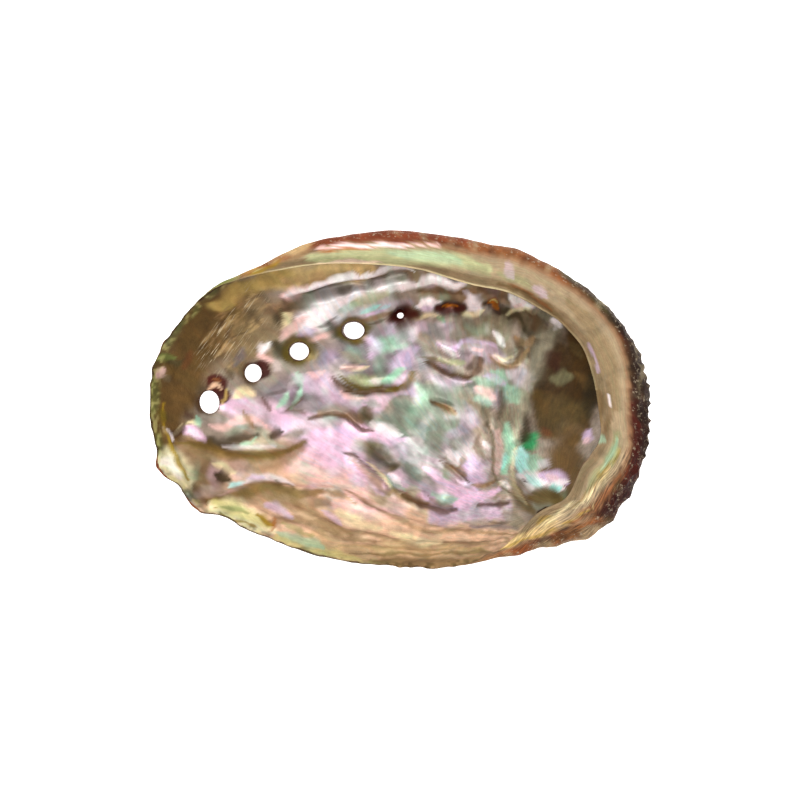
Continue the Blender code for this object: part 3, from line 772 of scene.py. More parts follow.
class Form:
    """The two faces of the wall as tables of points over bearing and share of the way to the edge."""

    BEARINGS = 720
    STATIONS = 200
    # Passes of rounding: of the outline till its waves are gone, of the sizes, and of the sections,
    # along each and from one to the next.
    PLAIN_PASSES, SIZE_PASSES, ALONG_PASSES, AROUND_PASSES = 260, 90, 14, 6
    NOTCH_POWER = 5  # how fast the waves of the outline fade out below the edge
    CURVE_POINTS = 90
    MOST_BELOW = 0.96  # at least the rest of the stations lie above the bend of the rim

    def __init__(self):
        self.degrees = np.arange(self.BEARINGS) * 360.0 / self.BEARINGS
        wavy = radius_by_bearing(smooth_curve(OUTLINE, closed=True), self.degrees)
        plain = rounded(wavy[:, None], self.PLAIN_PASSES, around=True)[:, 0]
        tables = (RIM_HEIGHT, INSET, TURN_IN, SHELF, FLATNESS, STEEPNESS, WALL)
        sizes = np.column_stack([by_bearing(t, self.degrees) for t in tables])
        sizes = rounded(sizes, self.SIZE_PASSES, around=True)
        sections = [self.section(reach, *row) for reach, row in zip(plain, sizes)]
        outer, inner = zip(*sections)
        share = np.linspace(0, 1, self.STATIONS)
        notch = ((wavy - plain)[:, None] * share**self.NOTCH_POWER)[:, :, None] * np.array([1.0, 0.0])
        outer, inner = (
            rounded(rounded(np.array(half), self.ALONG_PASSES), self.AROUND_PASSES, around=True) + notch
            for half in (outer, inner))
        inner[:, -1] = outer[:, -1]
        self.crest = np.argmax(outer[:, :, 1], axis=1) / (self.STATIONS - 1)
        self.turn, self.shelf = sizes[:, 2], sizes[:, 3]
        self.knobs = by_bearing(RIM_KNOBS, self.degrees)
        self.faces = [self.placed(outer), self.placed(inner)]

    def section(self, reach, rim, inset, turn, shelf, p, q, wall):
        """Outer and inner half section at one bearing, as (distance from the crown, height)."""
        t = np.linspace(0, math.pi / 2, self.CURVE_POINTS)
        bowl = 1 - (1 - np.sin(t) ** p) ** (1 / q)
        body = np.column_stack([reach * np.sin(t), (rim - turn) * bowl])
        turned = np.column_stack([reach - inset * (1 - np.cos(t)), rim - turn * (1 - np.sin(t))])
        edge = np.array([[reach - inset - shelf, rim - SHELF_SLOPE * shelf]])
        top = np.vstack([turned, edge])
        shelved = smoothstep(0, 3, shelf)
        root = rim - shelved * SHELF_ROOT - (1 - shelved) * LIP_ROOT
        inside = np.column_stack([(reach - wall) * np.sin(t), FLOOR_WALL + (root - FLOOR_WALL) * bowl])
        under = np.vstack([inside[-1:], edge])
        body_run, top_run = (np.linalg.norm(np.diff(c, axis=0), axis=1).sum() for c in (body, top))
        split = int(self.STATIONS * min(self.MOST_BELOW, body_run / (body_run + top_run)))
        outer = np.vstack([even_steps(body, split), even_steps(top, self.STATIONS - split + 1)[1:]])
        inner = np.vstack([even_steps(inside, split), even_steps(under, self.STATIONS - split + 1)[1:]])
        return outer, inner

    def placed(self, sections):
        """Points and inward normals of one face, from its half sections."""
        turn = np.radians(self.degrees)[:, None]
        points = np.dstack([
            CROWN[0] + sections[:, :, 0] * np.cos(turn),
            CROWN[1] + sections[:, :, 0] * np.sin(turn),
            sections[:, :, 1],
        ])
        along = np.gradient(points, axis=1)
        across = np.roll(points, -1, axis=0) - np.roll(points, 1, axis=0)
        normals = np.cross(along, across)
        normals[:, 0] = (0, 0, 1)
        normals /= np.linalg.norm(normals, axis=2)[:, :, None] + 1e-12
        steps = np.linalg.norm(np.diff(sections[:, ::-1], axis=1), axis=2)
        to_edge = np.hstack([np.zeros((self.BEARINGS, 1)), np.cumsum(steps, axis=1)])[:, ::-1]
        return np.dstack([points, normals, to_edge])

    def look_up(self, face, bearing, share):
        """Points, inward normals and distances from the edge, at these bearings (radians) and shares
        of the way to the edge."""
        table = self.faces[face]
        u = (np.degrees(bearing) % 360) * self.BEARINGS / 360
        v = np.clip(share, 0, 1) * (self.STATIONS - 1)
        i, j = np.floor(u).astype(int) % self.BEARINGS, np.minimum(v.astype(int), self.STATIONS - 2)
        a, b = (u - np.floor(u))[:, None], (v - j)[:, None]
        k = (i + 1) % self.BEARINGS
        near = table[i, j] * (1 - b) + table[i, j + 1] * b
        far = table[k, j] * (1 - b) + table[k, j + 1] * b
        found = near * (1 - a) + far * a
        return found[:, :3], found[:, 3:6], found[:, 6]

    def round_the_rim(self, values, bearing):
        """One value for each bearing (radians), from a value for each of the form's bearings."""
        return np.interp(np.degrees(bearing) % 360, self.degrees, values, period=360)


def route_offset(points, route, reach):
    """Signed distance of each point from a route (left of it is positive), the share along it, and
    which points are within reach at all."""
    curve = smooth_curve(route, steps=6)
    near = np.all((points > curve.min(axis=0) - reach) & (points < curve.max(axis=0) + reach), axis=1)
    picked = points[near]
    best = np.full(len(picked), 1e9)
    side = np.ones(len(picked))
    share = np.zeros(len(picked))
    for k in range(len(curve) - 1):
        a, step = curve[k], curve[k + 1] - curve[k]
        t = np.clip(((picked - a) @ step) / (step @ step), 0, 1)
        away = picked - a - t[:, None] * step
        far = np.hypot(*away.T)
        nearer = far < best
        best[nearer] = far[nearer]
        side[nearer] = np.sign(step[0] * away[nearer, 1] - step[1] * away[nearer, 0])
        share[nearer] = (k + t[nearer]) / (len(curve) - 1)
    return best * side, share, near


def fold(points, route, height, left, right):
    """A ridge along a route, with its own half width on either side, fading out at both ends."""
    total = np.zeros(len(points))
    off, share, near = route_offset(points, route, 3 * max(left, right))
    width = np.where(off > 0, left, right)
    run = np.linalg.norm(np.diff(np.array(route), axis=0), axis=1).sum()
    fade = min(0.4, 3.0 * max(left, right) / run)
    total[near] = height * np.exp(-((off / width) ** 2)) * span(share, 0, fade, 1 - fade, 1)
    return total


def on_plan(route):
    """Places in steps, as millimetres on the plan."""
    return [((x - MIDDLE) * STEP, (MIDDLE - y) * STEP) for x, y in route]


def spot(place):
    """One place in steps, in millimetres on the plan."""
    return on_plan([place])[0]


def as_seen(places):
    """Where points lie in the plan of the rim when looked at from above the middle."""
    return places[:, :2] * (EYE / (EYE + RIM_LEVEL - places[:, 2]))[:, None]


def knob(points, centre, radius):
    """1 at the centre of a round knob, falling to 0 at about twice its radius."""
    return np.exp(-((away_from(points, centre) / radius) ** 2))


def closeness(points, route, width, edge=1.6, middle=0.4):
    """1 along a route, fading from the middle share of its half width to 0 at the edge share."""
    reach = width * STEP
    share = np.zeros(len(points))
    off, _share, near = route_offset(points, on_plan(route), reach * edge)
    share[near] = smoothstep(reach * edge, reach * middle, np.abs(off))
    return share


def noise(points, size, seed):
    """A smooth random field over the plan, from -1 to 1, with features of this size."""
    lattice = np.random.default_rng(seed).uniform(-1, 1, (128, 128))
    at = points / size + 64
    i = np.floor(at).astype(int)
    f = at - i
    f = f * f * (3 - 2 * f)
    x, y = i[:, 0] % 128, i[:, 1] % 128
    x1, y1 = (x + 1) % 128, (y + 1) % 128
    low = lattice[x, y] * (1 - f[:, 0]) + lattice[x1, y] * f[:, 0]
    high = lattice[x, y1] * (1 - f[:, 0]) + lattice[x1, y1] * f[:, 0]
    return low * (1 - f[:, 1]) + high * f[:, 1]


def waves(points, *sorts):
    """A sum of noises. Each sort is an amount, a size and a seed."""
    return sum(amount * noise(points, size, seed) for amount, size, seed in sorts)


def wander(points, amount, size, seed):
    """Random shifts over the plan."""
    return np.column_stack([noise(points, size, seed), noise(points, size, seed + 1)]) * amount


def growth(points):
    """Logarithm of the shell's size when it reached each point, and the bearing from the apex."""
    outline = smooth_curve(OUTLINE, closed=True)
    away = outline - np.array(APEX)
    bearing = np.arctan2(away[:, 1], away[:, 0])
    order = np.argsort(bearing)
    off = points - np.array(APEX)
    turn = np.arctan2(off[:, 1], off[:, 0])
    full = np.interp(turn, bearing[order], np.hypot(*away.T)[order], period=2 * math.pi)
    return np.log(np.maximum(np.hypot(*off.T), 0.5) / full), turn


def growth_folds(size, turn):
    """1 on a growth fold and -1 between two."""
    return np.cos(2 * math.pi * size / GROWTH_STEP + 1.5 * np.sin(3 * turn))


def corrugation(points):
    """Lumps where growth folds cross the cords, in millimetres out of the back."""
    size, turn = growth(points)
    folds = growth_folds(size, turn)
    fine = np.cos(2 * math.pi * size / (GROWTH_STEP / 4.3) + 4 * np.sin(2 * turn) + 2 * noise(points, 6, 5))
    twisted = turn + CORD_TWIST * size
    cords = np.cos(2 * math.pi * twisted / CORD_STEP)
    small_cords = np.cos(2 * math.pi * twisted / (CORD_STEP / 3) + noise(points, 8, 6))
    lumps = GROWTH_RISE * folds + CORD_RISE * cords * (0.6 + 0.4 * folds)
    past_spire = smoothstep(-2.2, -0.9, size)
    return past_spire * (lumps + 0.12 * fine + 0.14 * small_cords + 0.25 * noise(points, 3.5, 7))


def lift(points, inside, rough):
    """How far each point of a face is moved into the bowl. The back is rough where rough is 1."""
    total = np.zeros(len(points))
    for height, left, right, route in RELIEF:
        if inside:
            total += fold(points, on_plan(route), height, left * STEP, right * STEP)
        elif abs(height) > 1:
            left, right = left + BACK_SPREAD, right + BACK_SPREAD
            total += fold(points, on_plan(route), BACK_SHARE * height, left * STEP, right * STEP)
    for hole in HOLES:
        centre, along, across, _lean = hole
        if inside:
            away = hole_radii(points, hole)
            total -= sum(rise * smoothstep(start, full, away) for rise, start, full in HOLE_RIMS)
        else:
            total -= TUBE_RISE * knob(points, centre, (along + across) / 2 + TUBE_REACH)
    for centre, radius in HEALED_HOLES:
        total -= HEALED_RISE[inside] * knob(points, centre, radius)
    if inside:
        for height, place, radius in LUMPS:
            total += height * knob(points, spot(place), radius * STEP)
        total += fold(points, SPIRE_RIDGE, *SPIRE_RIDGE_SIZES)
        total += waves(points, (0.30, 9, 11), (0.16, 4, 12), (0.06, 1.7, 13))
    else:
        total += fold(points, SUTURE, *SUTURE_SIZES)
        total -= corrugation(points) * rough
    return total


def mesh_from(bm, name):
    """Turns a bmesh into a mesh and frees it."""
    mesh = bpy.data.meshes.new(name)
    bm.to_mesh(mesh)
    bm.free()
    return mesh


def concentric(bm_verts):
    """Bearing and ring share of the vertices of a square grid of half side 1, mapped onto a disc."""
    x, y = np.array([v.co[:2] for v in bm_verts]).T
    share = np.maximum(np.abs(x), np.abs(y))
    wide = np.abs(x) >= np.abs(y)
    with np.errstate(divide="ignore", invalid="ignore"):
        bearing = np.where(wide, math.pi / 4 * y / x, math.pi / 2 - math.pi / 4 * x / y)
    bearing = np.where(share < 1e-9, 0, bearing) + np.where(wide & (x < 0) | ~wide & (y < 0), math.pi, 0)
    return bearing, share


def moved_face(form, inside, bearing, share):
    """Places of points of one face, lumps and folds included, and the facts that colours follow:
    plain place, bearing, share of the way to the edge, side, distance from the edge, and how far
    below the crest of the rim in that share."""
    points, normals, to_edge = form.look_up(int(inside), bearing, share)
    shelved = smoothstep(1.0, 6.0, form.round_the_rim(form.shelf, bearing))
    below = form.round_the_rim(form.crest, bearing) - share
    worn = smoothstep(0.25, 0.05, below) * (1 - form.round_the_rim(form.knobs, bearing))
    rough = smoothstep(0.0, 0.05, below) * (1 - worn)
    amount = lift(as_seen(points), inside, rough) * smoothstep(0.0, 4.0, to_edge)
    if inside:
        amount *= smoothstep(-0.3, 0.3, normals[:, 2])
    else:
        amount *= smoothstep(-0.02, 0.03, below)
    moved = points + normals * amount[:, None]
    moved[:, 2] -= SHELF_LIP_DROP * shelved * smoothstep(SHELF_LIP, 0.0, to_edge)
    away = points[:, :2] - np.array(CROWN)
    away /= np.hypot(*away.T)[:, None] + 1e-9
    chipped = waves(points[:, :2], (0.30, 3.1, 14), (0.22, 1.5, 15)) - 0.1
    moved[:, :2] += away * (chipped * (1 - shelved) * smoothstep(2.0, 0.0, to_edge))[:, None]
    if not inside:
        facing, facing_normals, facing_edge = form.look_up(1, bearing, share)
        across = np.maximum(np.sum((facing - points) * normals, axis=1), 0)
        opposite = points + normals * across[:, None]
        pearly = lift(as_seen(opposite), True, rough)
        pearly *= smoothstep(0.0, 4.0, facing_edge) * smoothstep(-0.3, 0.3, facing_normals[:, 2])
        lack = np.maximum(np.minimum(THINNEST, 0.8 * across) - (across + pearly - amount), 0)
        moved -= normals * (lack * smoothstep(-0.02, 0.0, below))[:, None]
        for centre, radius in FEET:
            flat = smoothstep(radius * 1.9, radius, away_from(moved[:, :2], centre))
            flat *= moved[:, 2] < FOOT_ZONE
            moved[:, 2] += (-FOOT_DEPTH - moved[:, 2]) * flat
    side = np.full(len(points), float(inside))
    return moved, np.column_stack([points, bearing, share, side, to_edge, below])


def face_of_wall(form, inside):
    """One face of the wall as a mesh: a grid laid over the form. Also the facts about its points."""
    rings = PEARL_RINGS if inside else BACK_RINGS
    bm = bmesh.new()
    bmesh.ops.create_grid(bm, x_segments=2 * rings, y_segments=2 * rings, size=1.0)
    if not inside:
        rim = [e for e in bm.edges if e.is_boundary]
        bmesh.ops.subdivide_edges(bm, edges=rim, cuts=PEARL_RINGS // BACK_RINGS - 1)
        bmesh.ops.triangulate(bm, faces=[f for f in bm.faces if len(f.verts) > 4])
    bearing, share = concentric(bm.verts)
    share = 1 - (1 - share) ** EDGE_BIAS[inside]
    moved, facts = moved_face(form, inside, bearing, share)
    for vert, place in zip(bm.verts, moved):
        vert.co = place
    if not inside:
        bmesh.ops.reverse_faces(bm, faces=bm.faces)
    return mesh_from(bm, "face"), moved, facts


def hole_cutters(form):
    """One mesh of tapered plugs, wider inside the bowl, each leaning with its tube."""
    bm = bmesh.new()
    tries = 400
    for centre, along, across, lean in HOLES:
        bearing = math.atan2(centre[1] - CROWN[1], centre[0] - CROWN[0])
        floor = form.look_up(1, np.full(tries, bearing), np.linspace(0, 1, tries))[0]
        height = floor[np.argmin(away_from(as_seen(floor), centre)), 2] - FLOOR_WALL / 2
        nearer = (EYE + RIM_LEVEL - height) / EYE
        made = bmesh.ops.create_cone(
            bm, cap_ends=True, segments=HOLE_SIDES, radius1=PLUG_LOW, radius2=PLUG_HIGH,
            depth=2 * PLUG_REACH)
        for vert in made["verts"]:
            up = vert.co.z / PLUG_REACH + PLUG_WAIST
            vert.co.x = vert.co.x * along - lean[0] * up + centre[0] * nearer
            vert.co.y = vert.co.y * across - lean[1] * up + centre[1] * nearer
            vert.co.z += height
    return mesh_from(bm, "plugs")


def linear(name):
    """A colour by name, as linear light, with the contrast raised."""
    c = np.array(COLOURS[name])
    return np.where(c <= 0.04045, c / 12.92, ((c + 0.055) / 1.055) ** 2.4) ** CONTRAST


def paint(colour, points, strokes, soft, seen=1.0):
    """Lays strokes of colour over the points, each with soft edges. They show as far as seen says."""
    seen = np.broadcast_to(seen, len(points))
    for name, strength, width, route in strokes:
        reach = width * STEP
        off, share, near = route_offset(points, on_plan(route), reach * 2.6)
        rag = min(reach, 1.1) * waves(points[near], (0.40, 2.2, 81), (0.12, 0.9, 82))
        reach = reach * (0.5 + 0.5 * span(share, 0.0, 0.3, 0.7, 1.0)) + rag
        cover = strength * smoothstep(1 + soft, 1 - soft, np.abs(off) / np.maximum(reach, 0.05))
        colour[near] += (linear(name) - colour[near]) * (cover * seen[near])[:, None]


def blend(colour, name, share):
    """Moves colours towards a named one, by this share of the way."""
    colour += (linear(name) - colour) * np.clip(share, 0, 1)[:, None]


def drawn_out(points, inner, on_shelf, to_edge, bearing):
    """Coordinates that make a texture run out along spirals into the spire on the inside, along the
    edge on the shelf, and round the apex elsewhere."""
    off = points - np.array(spot(SWIRL))
    far = np.log(np.maximum(np.hypot(*off.T), 14.0))
    turn = np.arctan2(off[:, 1], -off[:, 0]) - 0.3 * far
    size, round_apex = growth(points)
    spiral = np.column_stack([turn / 0.09, far / 0.3, np.zeros(len(points))])
    rings = np.column_stack([size / 0.03, round_apex / 0.3, np.full(len(points), 50.0)])
    across = (to_edge + 0.5 * noise(points, 5, 55)) / 1.1
    band = np.column_stack([across, bearing / 0.3, np.full(len(points), 90.0)])
    return np.where(inner[:, None], spiral, np.where(on_shelf[:, None], band, rings))


def streakiness(points, outer, onto_shelf):
    """How strong the streaks are: most on the flaky tail of the shelf."""
    tail = closeness(points, TAIL, 30, 1.0)
    return np.where(outer, np.maximum(onto_shelf * SHELF_STREAKS, tail), INSIDE_STREAKS)


def nacre_share(points):
    """How pearly the inside is: less so in the brown zone at the lip and under the spire."""
    share = np.ones(len(points))
    for strength, width, route in DULL:
        share *= 1 - strength * closeness(points, route, width)
    for place, radius, _name in WELLS:
        share *= 1 - 0.8 * smoothstep(1.3, 0.8, away_from(points, spot(place)) / (radius * STEP))
    return np.maximum(share, LEAST_PEARL)


def fibre_share(points, inner):
    """Where the fibres lie."""
    share = np.zeros(len(points))
    for strength, width, route in FIBRES:
        share = np.maximum(share, strength * closeness(points, route, width, 1.5))
    return share * inner * smoothstep(-0.5, 0.2, noise(points, 2.4, 92))


def scratches():
    """Pale fibres in the brown zone."""
    random = np.random.default_rng(91)
    (x0, y0), (x1, y1) = SCRATCH_LINE
    made = []
    for _ in range(SCRATCHES):
        along, aside = random.uniform(0, 1), random.normal(0, SCRATCH_SPREAD)
        x, y = x0 + (x1 - x0) * along + 0.8 * aside, y0 + (y1 - y0) * along + 0.6 * aside
        lean = random.normal(*SCRATCH_LEAN)
        far = random.uniform(*SCRATCH_LENGTH)
        bend = random.normal(0, 0.07)
        route = [(x + far * t * math.cos(lean + bend * t), y - far * t * math.sin(lean + bend * t))
                 for t in (0, 0.5, 1)]
        colour = ("sand", "tan", "sand", "dark brown")[random.integers(4)]
        made.append((colour, random.uniform(0.25, 0.6), random.uniform(0.8, 1.5), route))
    return made


def blotches(colour, points, pearl):
    """Soft clouds of other pearly colours."""
    hue = waves(points, (1, 6.5, 51), (0.5, 3.0, 52))
    light = waves(points, (1, 5.0, 53), (0.5, 2.2, 54))
    blend(colour, "mint", 0.30 * pearl * smoothstep(0.25, 0.9, hue))
    blend(colour, "lavender", 0.34 * pearl * smoothstep(-0.25, -0.9, hue))
    blend(colour, "white", 0.26 * pearl * smoothstep(0.3, 1.1, light))
    blend(colour, "grey", 0.20 * pearl * smoothstep(-0.3, -1.1, light))


def lip_bands(colour, points, to_edge, degrees):
    """Flecked bands along the lip: green on the left, sage at the top, tan and olive below."""
    fleck = waves(points, (0.6, 2.6, 71), (0.9, 0.9, 72))
    left = span(degrees, 128, 140, 240, 252) * smoothstep(4.4, 1.4, to_edge + 1.2 * noise(points, 4, 73))
    blend(colour, "green", 0.4 * left * smoothstep(-0.5, 0.5, noise(points, 3.5, 75)))
    blend(colour, "straw", 0.35 * left * smoothstep(0.0, 0.4, fleck))
    blend(colour, "moss", 0.45 * left * smoothstep(-0.2, -0.6, fleck))
    blend(colour, "sage", 0.6 * span(degrees, 132, 138, 142, 150) * smoothstep(4.5, 2.5, to_edge))
    low = span(degrees, 236, 246, 265, 285)
    band = low * smoothstep(4.4, 2.4, to_edge + 0.8 * noise(points, 4, 74))
    blend(colour, "tan", 0.7 * band)
    blend(colour, "olive", 0.7 * band * smoothstep(0.0, 0.6, fleck) * smoothstep(3.0, 1.5, to_edge))
    ragged = to_edge + 0.4 * noise(points, 1.5, 64)
    blend(colour, "dark brown", 0.9 * smoothstep(0.8, 0.3, ragged) * (1 - 0.6 * low))


def inside_colour(points, to_edge, degrees):
    """Colour of the pearly face, with the painted highlights, sheen and shade that the washes and marks
    carry.
    """
    shifts = wander(points, 1.3, 7, 21) + wander(points, 0.5, 2.6, 23) + wander(points, 0.25, 1.2, 25)
    colour = np.tile(linear("pearl"), (len(points), 1))
    paint(colour, points + shifts * 1.5, WASHES, 0.6)
    blotches(colour, points, smoothstep(0.6, 1.0, nacre_share(points)))
    paint(colour, points + shifts * 0.3, scratches(), 0.6)
    paint(colour, points + shifts * 0.5, MARKS, 0.66)
    for hole, (halo, far) in zip(HOLES, HALOES):
        away = hole_radii(points, hole) + 0.2 * noise(points, 2, 83)
        blend(colour, halo, smoothstep(far, 0.65 * far, away) * 0.9)
    for place, radius, name in WELLS:
        away = away_from(points, spot(place)) / (radius * STEP) + 0.15 * noise(points, 1.5, 84)
        blend(colour, name, 0.97 * smoothstep(1.15, 0.8, away))
    paint(colour, points, WELL_BITS, 0.5)
    lip_bands(colour, points, to_edge, degrees)
    shade = 0.97 + waves(points, (0.08, 6, 61), (0.10, 2.4, 62), (0.06, 1.1, 63))
    return colour * shade[:, None]


def back_colour(points, heights, in_sight):
    """Colour of the rough back. The bands along the rim are only where they are in sight."""
    folds = growth_folds(*growth(points))
    spread = np.array(CROWN) + (points - np.array(CROWN)) * (1 + heights / RIM_LEVEL)[:, None]
    colour = np.tile(linear("brick"), (len(points), 1))
    blend(colour, "rust", 0.5 + 0.5 * noise(spread, 13, 31))
    blend(colour, "moss", 0.75 * smoothstep(0.0, 0.6, waves(spread, (1, 19, 32), (0.4, 6, 33))))
    paint(colour, points + wander(points, 1.2, 4, 36), BACK_MARKS, 0.6, in_sight)
    blend(colour, "chalk", 0.35 * smoothstep(0.4, 0.9, waves(spread, (1, 7, 34), (0.3, 2, 40))))
    blend(colour, "maroon", 0.6 * smoothstep(0.1, -0.8, folds) * smoothstep(-0.4, 0.4, noise(spread, 10, 35)))
    shade = 1 + waves(spread, (0.25, 2.4, 38), (0.15, 1.3, 39))
    return colour * shade[:, None]


def shelf_colour(points, to_edge, from_crest, degrees):
    """Colour of the shelf and of the rim's upper face."""
    colour = np.tile(linear("shelf"), (len(points), 1))
    left = span(degrees, 118, 132, 180, 200)
    crest = smoothstep(1.8, 0.3, from_crest)
    blend(colour, "rust", 0.6 * crest * (1 - left))
    blend(colour, "tan", 0.5 * crest * left)
    blend(colour, "shelf brown", 0.5 * smoothstep(3.6, 2.4, to_edge))
    paint(colour, points + wander(points, 0.5, 5, 41), SHELF_MARKS, 0.5)
    lip = (0.15 + 0.5 * smoothstep(55, 80, degrees)) * smoothstep(156, 144, degrees)
    blend(colour, "cream", lip * smoothstep(0.8, 0.2, to_edge))
    shade = 1 + waves(points, (0.06, 5, 43), (0.06, 1.8, 44))
    return colour * shade[:, None]


def new_object(name, data):
    made = bpy.data.objects.new(name, data)
    bpy.context.scene.collection.objects.link(made)
    return made


def joined_faces(form):
    """Both faces as one object, with the places of their points and the facts about them."""
    faces, places, facts = zip(*(face_of_wall(form, inside) for inside in (True, False)))
    bm = bmesh.new()
    for face in faces:
        bm.from_mesh(face)
        bpy.data.meshes.remove(face)
    bmesh.ops.remove_doubles(bm, verts=bm.verts, dist=SAME)
    return new_object("abalone", mesh_from(bm, "abalone")), np.vstack(places), np.vstack(facts)


def cut_holes(shell, form):
    """The mesh of the shell with its open holes cut."""
    plugs = new_object("plugs", hole_cutters(form))
    cut = shell.modifiers.new("holes", "BOOLEAN")
    cut.operation = "DIFFERENCE"
    cut.object = plugs
    cut.solver = "EXACT"
    graph = bpy.context.evaluated_depsgraph_get()
    made = bpy.data.meshes.new_from_object(shell.evaluated_get(graph))
    shell.modifiers.clear()
    bpy.data.objects.remove(plugs)
    return made


def traced(mesh, before, facts):
    """The facts about each vertex of the cut mesh, from the nearest point before the cut, and
    whether the cut made the vertex."""
    tree = KDTree(len(before))
    for k, place in enumerate(before):
        tree.insert(place, k)
    tree.balance()
    _places, source, gap = zip(*(tree.find(vert.co) for vert in mesh.vertices))
    return facts[list(source)], np.array(gap) > SAME


def store(fields, name, kind, values):
    """Keeps a value for each vertex, for the material."""
    key = {"FLOAT": "value", "FLOAT_VECTOR": "vector", "FLOAT_COLOR": "color"}[kind]
    fields.new(name, kind, "POINT").data.foreach_set(key, values.astype(np.float32).ravel())


def dress(form, mesh, places, facts, cut_wall):
    """Gives the mesh its colours and the other values that the material reads."""
    plan = as_seen(facts[:, :3])
    bearing, share, inside, to_edge, below = facts[:, 3:].T
    degrees = np.degrees(bearing) % 360
    crest = share + below
    from_crest = form.look_up(0, bearing, crest)[2] - to_edge
    shelved = form.round_the_rim(form.shelf, bearing) > 1.0
    at_edge = share > 1 - 1e-6
    inner = np.where(at_edge, ~shelved, inside > 0.5)
    outer = ~inner
    onto_shelf = smoothstep(-0.9, 0.7, from_crest + 0.4 * noise(plan, 1.3, 45)) * (share >= crest - 0.03)

    colour = np.zeros((len(places), 3))
    colour[inner] = inside_colour(plan[inner], to_edge[inner], degrees[inner])
    seen_below = SEEN_BELOW + form.round_the_rim(form.turn, bearing)
    in_sight = smoothstep(seen_below + FADING, seen_below, -from_crest)
    colour[outer] = back_colour(plan[outer], facts[outer, 2], in_sight[outer])
    shelf = shelf_colour(plan[outer], to_edge[outer], from_crest[outer], degrees[outer])
    colour[outer] += (shelf - colour[outer]) * onto_shelf[outer][:, None]
    away = np.min([hole_radii(places[:, :2], hole) for hole in HOLES], axis=0)
    blend(colour, "blood", 0.7 * (cut_wall & (away < CUT_REACH)))

    pearl = SHELF_PEARL * onto_shelf
    pearl[inner] = nacre_share(plan[inner])
    flow = drawn_out(plan, inner, outer & (share > crest - 0.12), to_edge, bearing)
    opaque = np.ones(len(colour))
    # The tint also holds the painted highlights, sheen and shade of the inside.
    store(mesh.color_attributes, "tint", "FLOAT_COLOR", np.column_stack([colour, opaque]))
    store(mesh.attributes, "pearl", "FLOAT", pearl)
    store(mesh.attributes, "flow", "FLOAT_VECTOR", flow)
    store(mesh.attributes, "streak", "FLOAT", streakiness(plan, outer, onto_shelf))
    store(mesh.attributes, "fibres", "FLOAT", fibre_share(plan, inner))


def build_shell():
    """The shell as an object, and how far its middle was moved to the origin."""
    form = Form()
    shell, before, facts = joined_faces(form)
    mesh = cut_holes(shell, form)
    shell.data = mesh
    facts, cut_wall = traced(mesh, before, facts)
    places = np.array([vert.co for vert in mesh.vertices])
    low, high = places.min(axis=0), places.max(axis=0)
    shift = np.array([-(low[0] + high[0]) / 2, -(low[1] + high[1]) / 2, FOOT_DEPTH])
    placed = places + shift
    placed[:, 2] = np.maximum(placed[:, 2], 0)
    mesh.vertices.foreach_set("co", (placed * MM).astype(np.float32).ravel())
    dress(form, mesh, places, facts, cut_wall)
    mesh.update()
    mesh.shade_smooth()
    mesh.name = "abalone"
    return shell, shift * MM


def node(tree, kind, inputs=None, **settings):
    """A new node. An input is a value, or the output of another node that is linked to it."""
    made = tree.nodes.new(kind)
    for key, value in settings.items():
        setattr(made, key, value)
    for key, value in (inputs or {}).items():
        if isinstance(value, bpy.types.NodeSocket):
            tree.links.new(value, made.inputs[key])
        else:
            made.inputs[key].default_value = value
    return made


def math_node(tree, operation, *values):
    return node(tree, "ShaderNodeMath", dict(enumerate(values)), operation=operation).outputs[0]


def attribute(tree, name, output="Fac"):
    return node(tree, "ShaderNodeAttribute", attribute_name=name).outputs[output]


def clouds(tree, vector, scale, **more):
    """A noise texture, with more of its inputs by name."""
    return node(tree, "ShaderNodeTexNoise", {"Vector": vector, "Scale": scale, **more}).outputs["Fac"]


def mapped(tree, value, low, high, to_low=0.0, to_high=1.0):
    """A value with its range from low to high brought to another range."""
    sizes = {"Value": value, "From Min": low, "From Max": high, "To Min": to_low, "To Max": to_high}
    return node(tree, "ShaderNodeMapRange", sizes).outputs[0]


def mixed(tree, share, first, second):
    """A mix of two colours."""
    return node(tree, "ShaderNodeMix", {0: share, 6: first, 7: second}, data_type="RGBA").outputs[2]


def pearl_hues(tree, flow):
    """Changing hues, drawn out along the flow."""
    ramp = node(tree, "ShaderNodeValToRGB", {"Fac": clouds(tree, flow, 1.0, Detail=4.0, Distortion=1.2)})
    while len(ramp.color_ramp.elements) < len(HUES):
        ramp.color_ramp.elements.new(0.5)
    for element, (at, colour) in zip(ramp.color_ramp.elements, HUES):
        element.position = at
        element.color = (*colour, 1)
    return ramp.outputs["Color"]


def brightness(tree, place, flow, grain):
    """Marbling, fine grain, and lines along the flow."""
    marbled = mapped(tree, clouds(tree, place, 210.0, Detail=3.0, Distortion=1.0), 0.3, 0.7, 0.86, 1.16)
    swing = mapped(tree, clouds(tree, flow, 3.2, Detail=4.0), 0.3, 0.7, -0.70, 0.55)
    lined = math_node(tree, "MULTIPLY_ADD", swing, attribute(tree, "streak"), 1.0)
    grained = mapped(tree, grain, 0.3, 0.7, 0.96, 1.05)
    light = math_node(tree, "MULTIPLY", marbled, math_node(tree, "MULTIPLY", lined, grained))
    return math_node(tree, "MULTIPLY", light, BRIGHTNESS)


def fibre_cover(tree, place):
    """How far fibres cover the brown zone: long thin ones that run up to the right."""
    sizes = {"Vector": place, "Rotation": (0, 0, 0.95), "Scale": (0.006, 0.0004, 0.006)}
    turned = node(tree, "ShaderNodeMapping", sizes, vector_type="TEXTURE").outputs[0]
    strand = mapped(tree, clouds(tree, turned, 1.0, Detail=3.0, Distortion=0.5), 0.56, 0.64)
    return math_node(tree, "MULTIPLY", strand, attribute(tree, "fibres"))


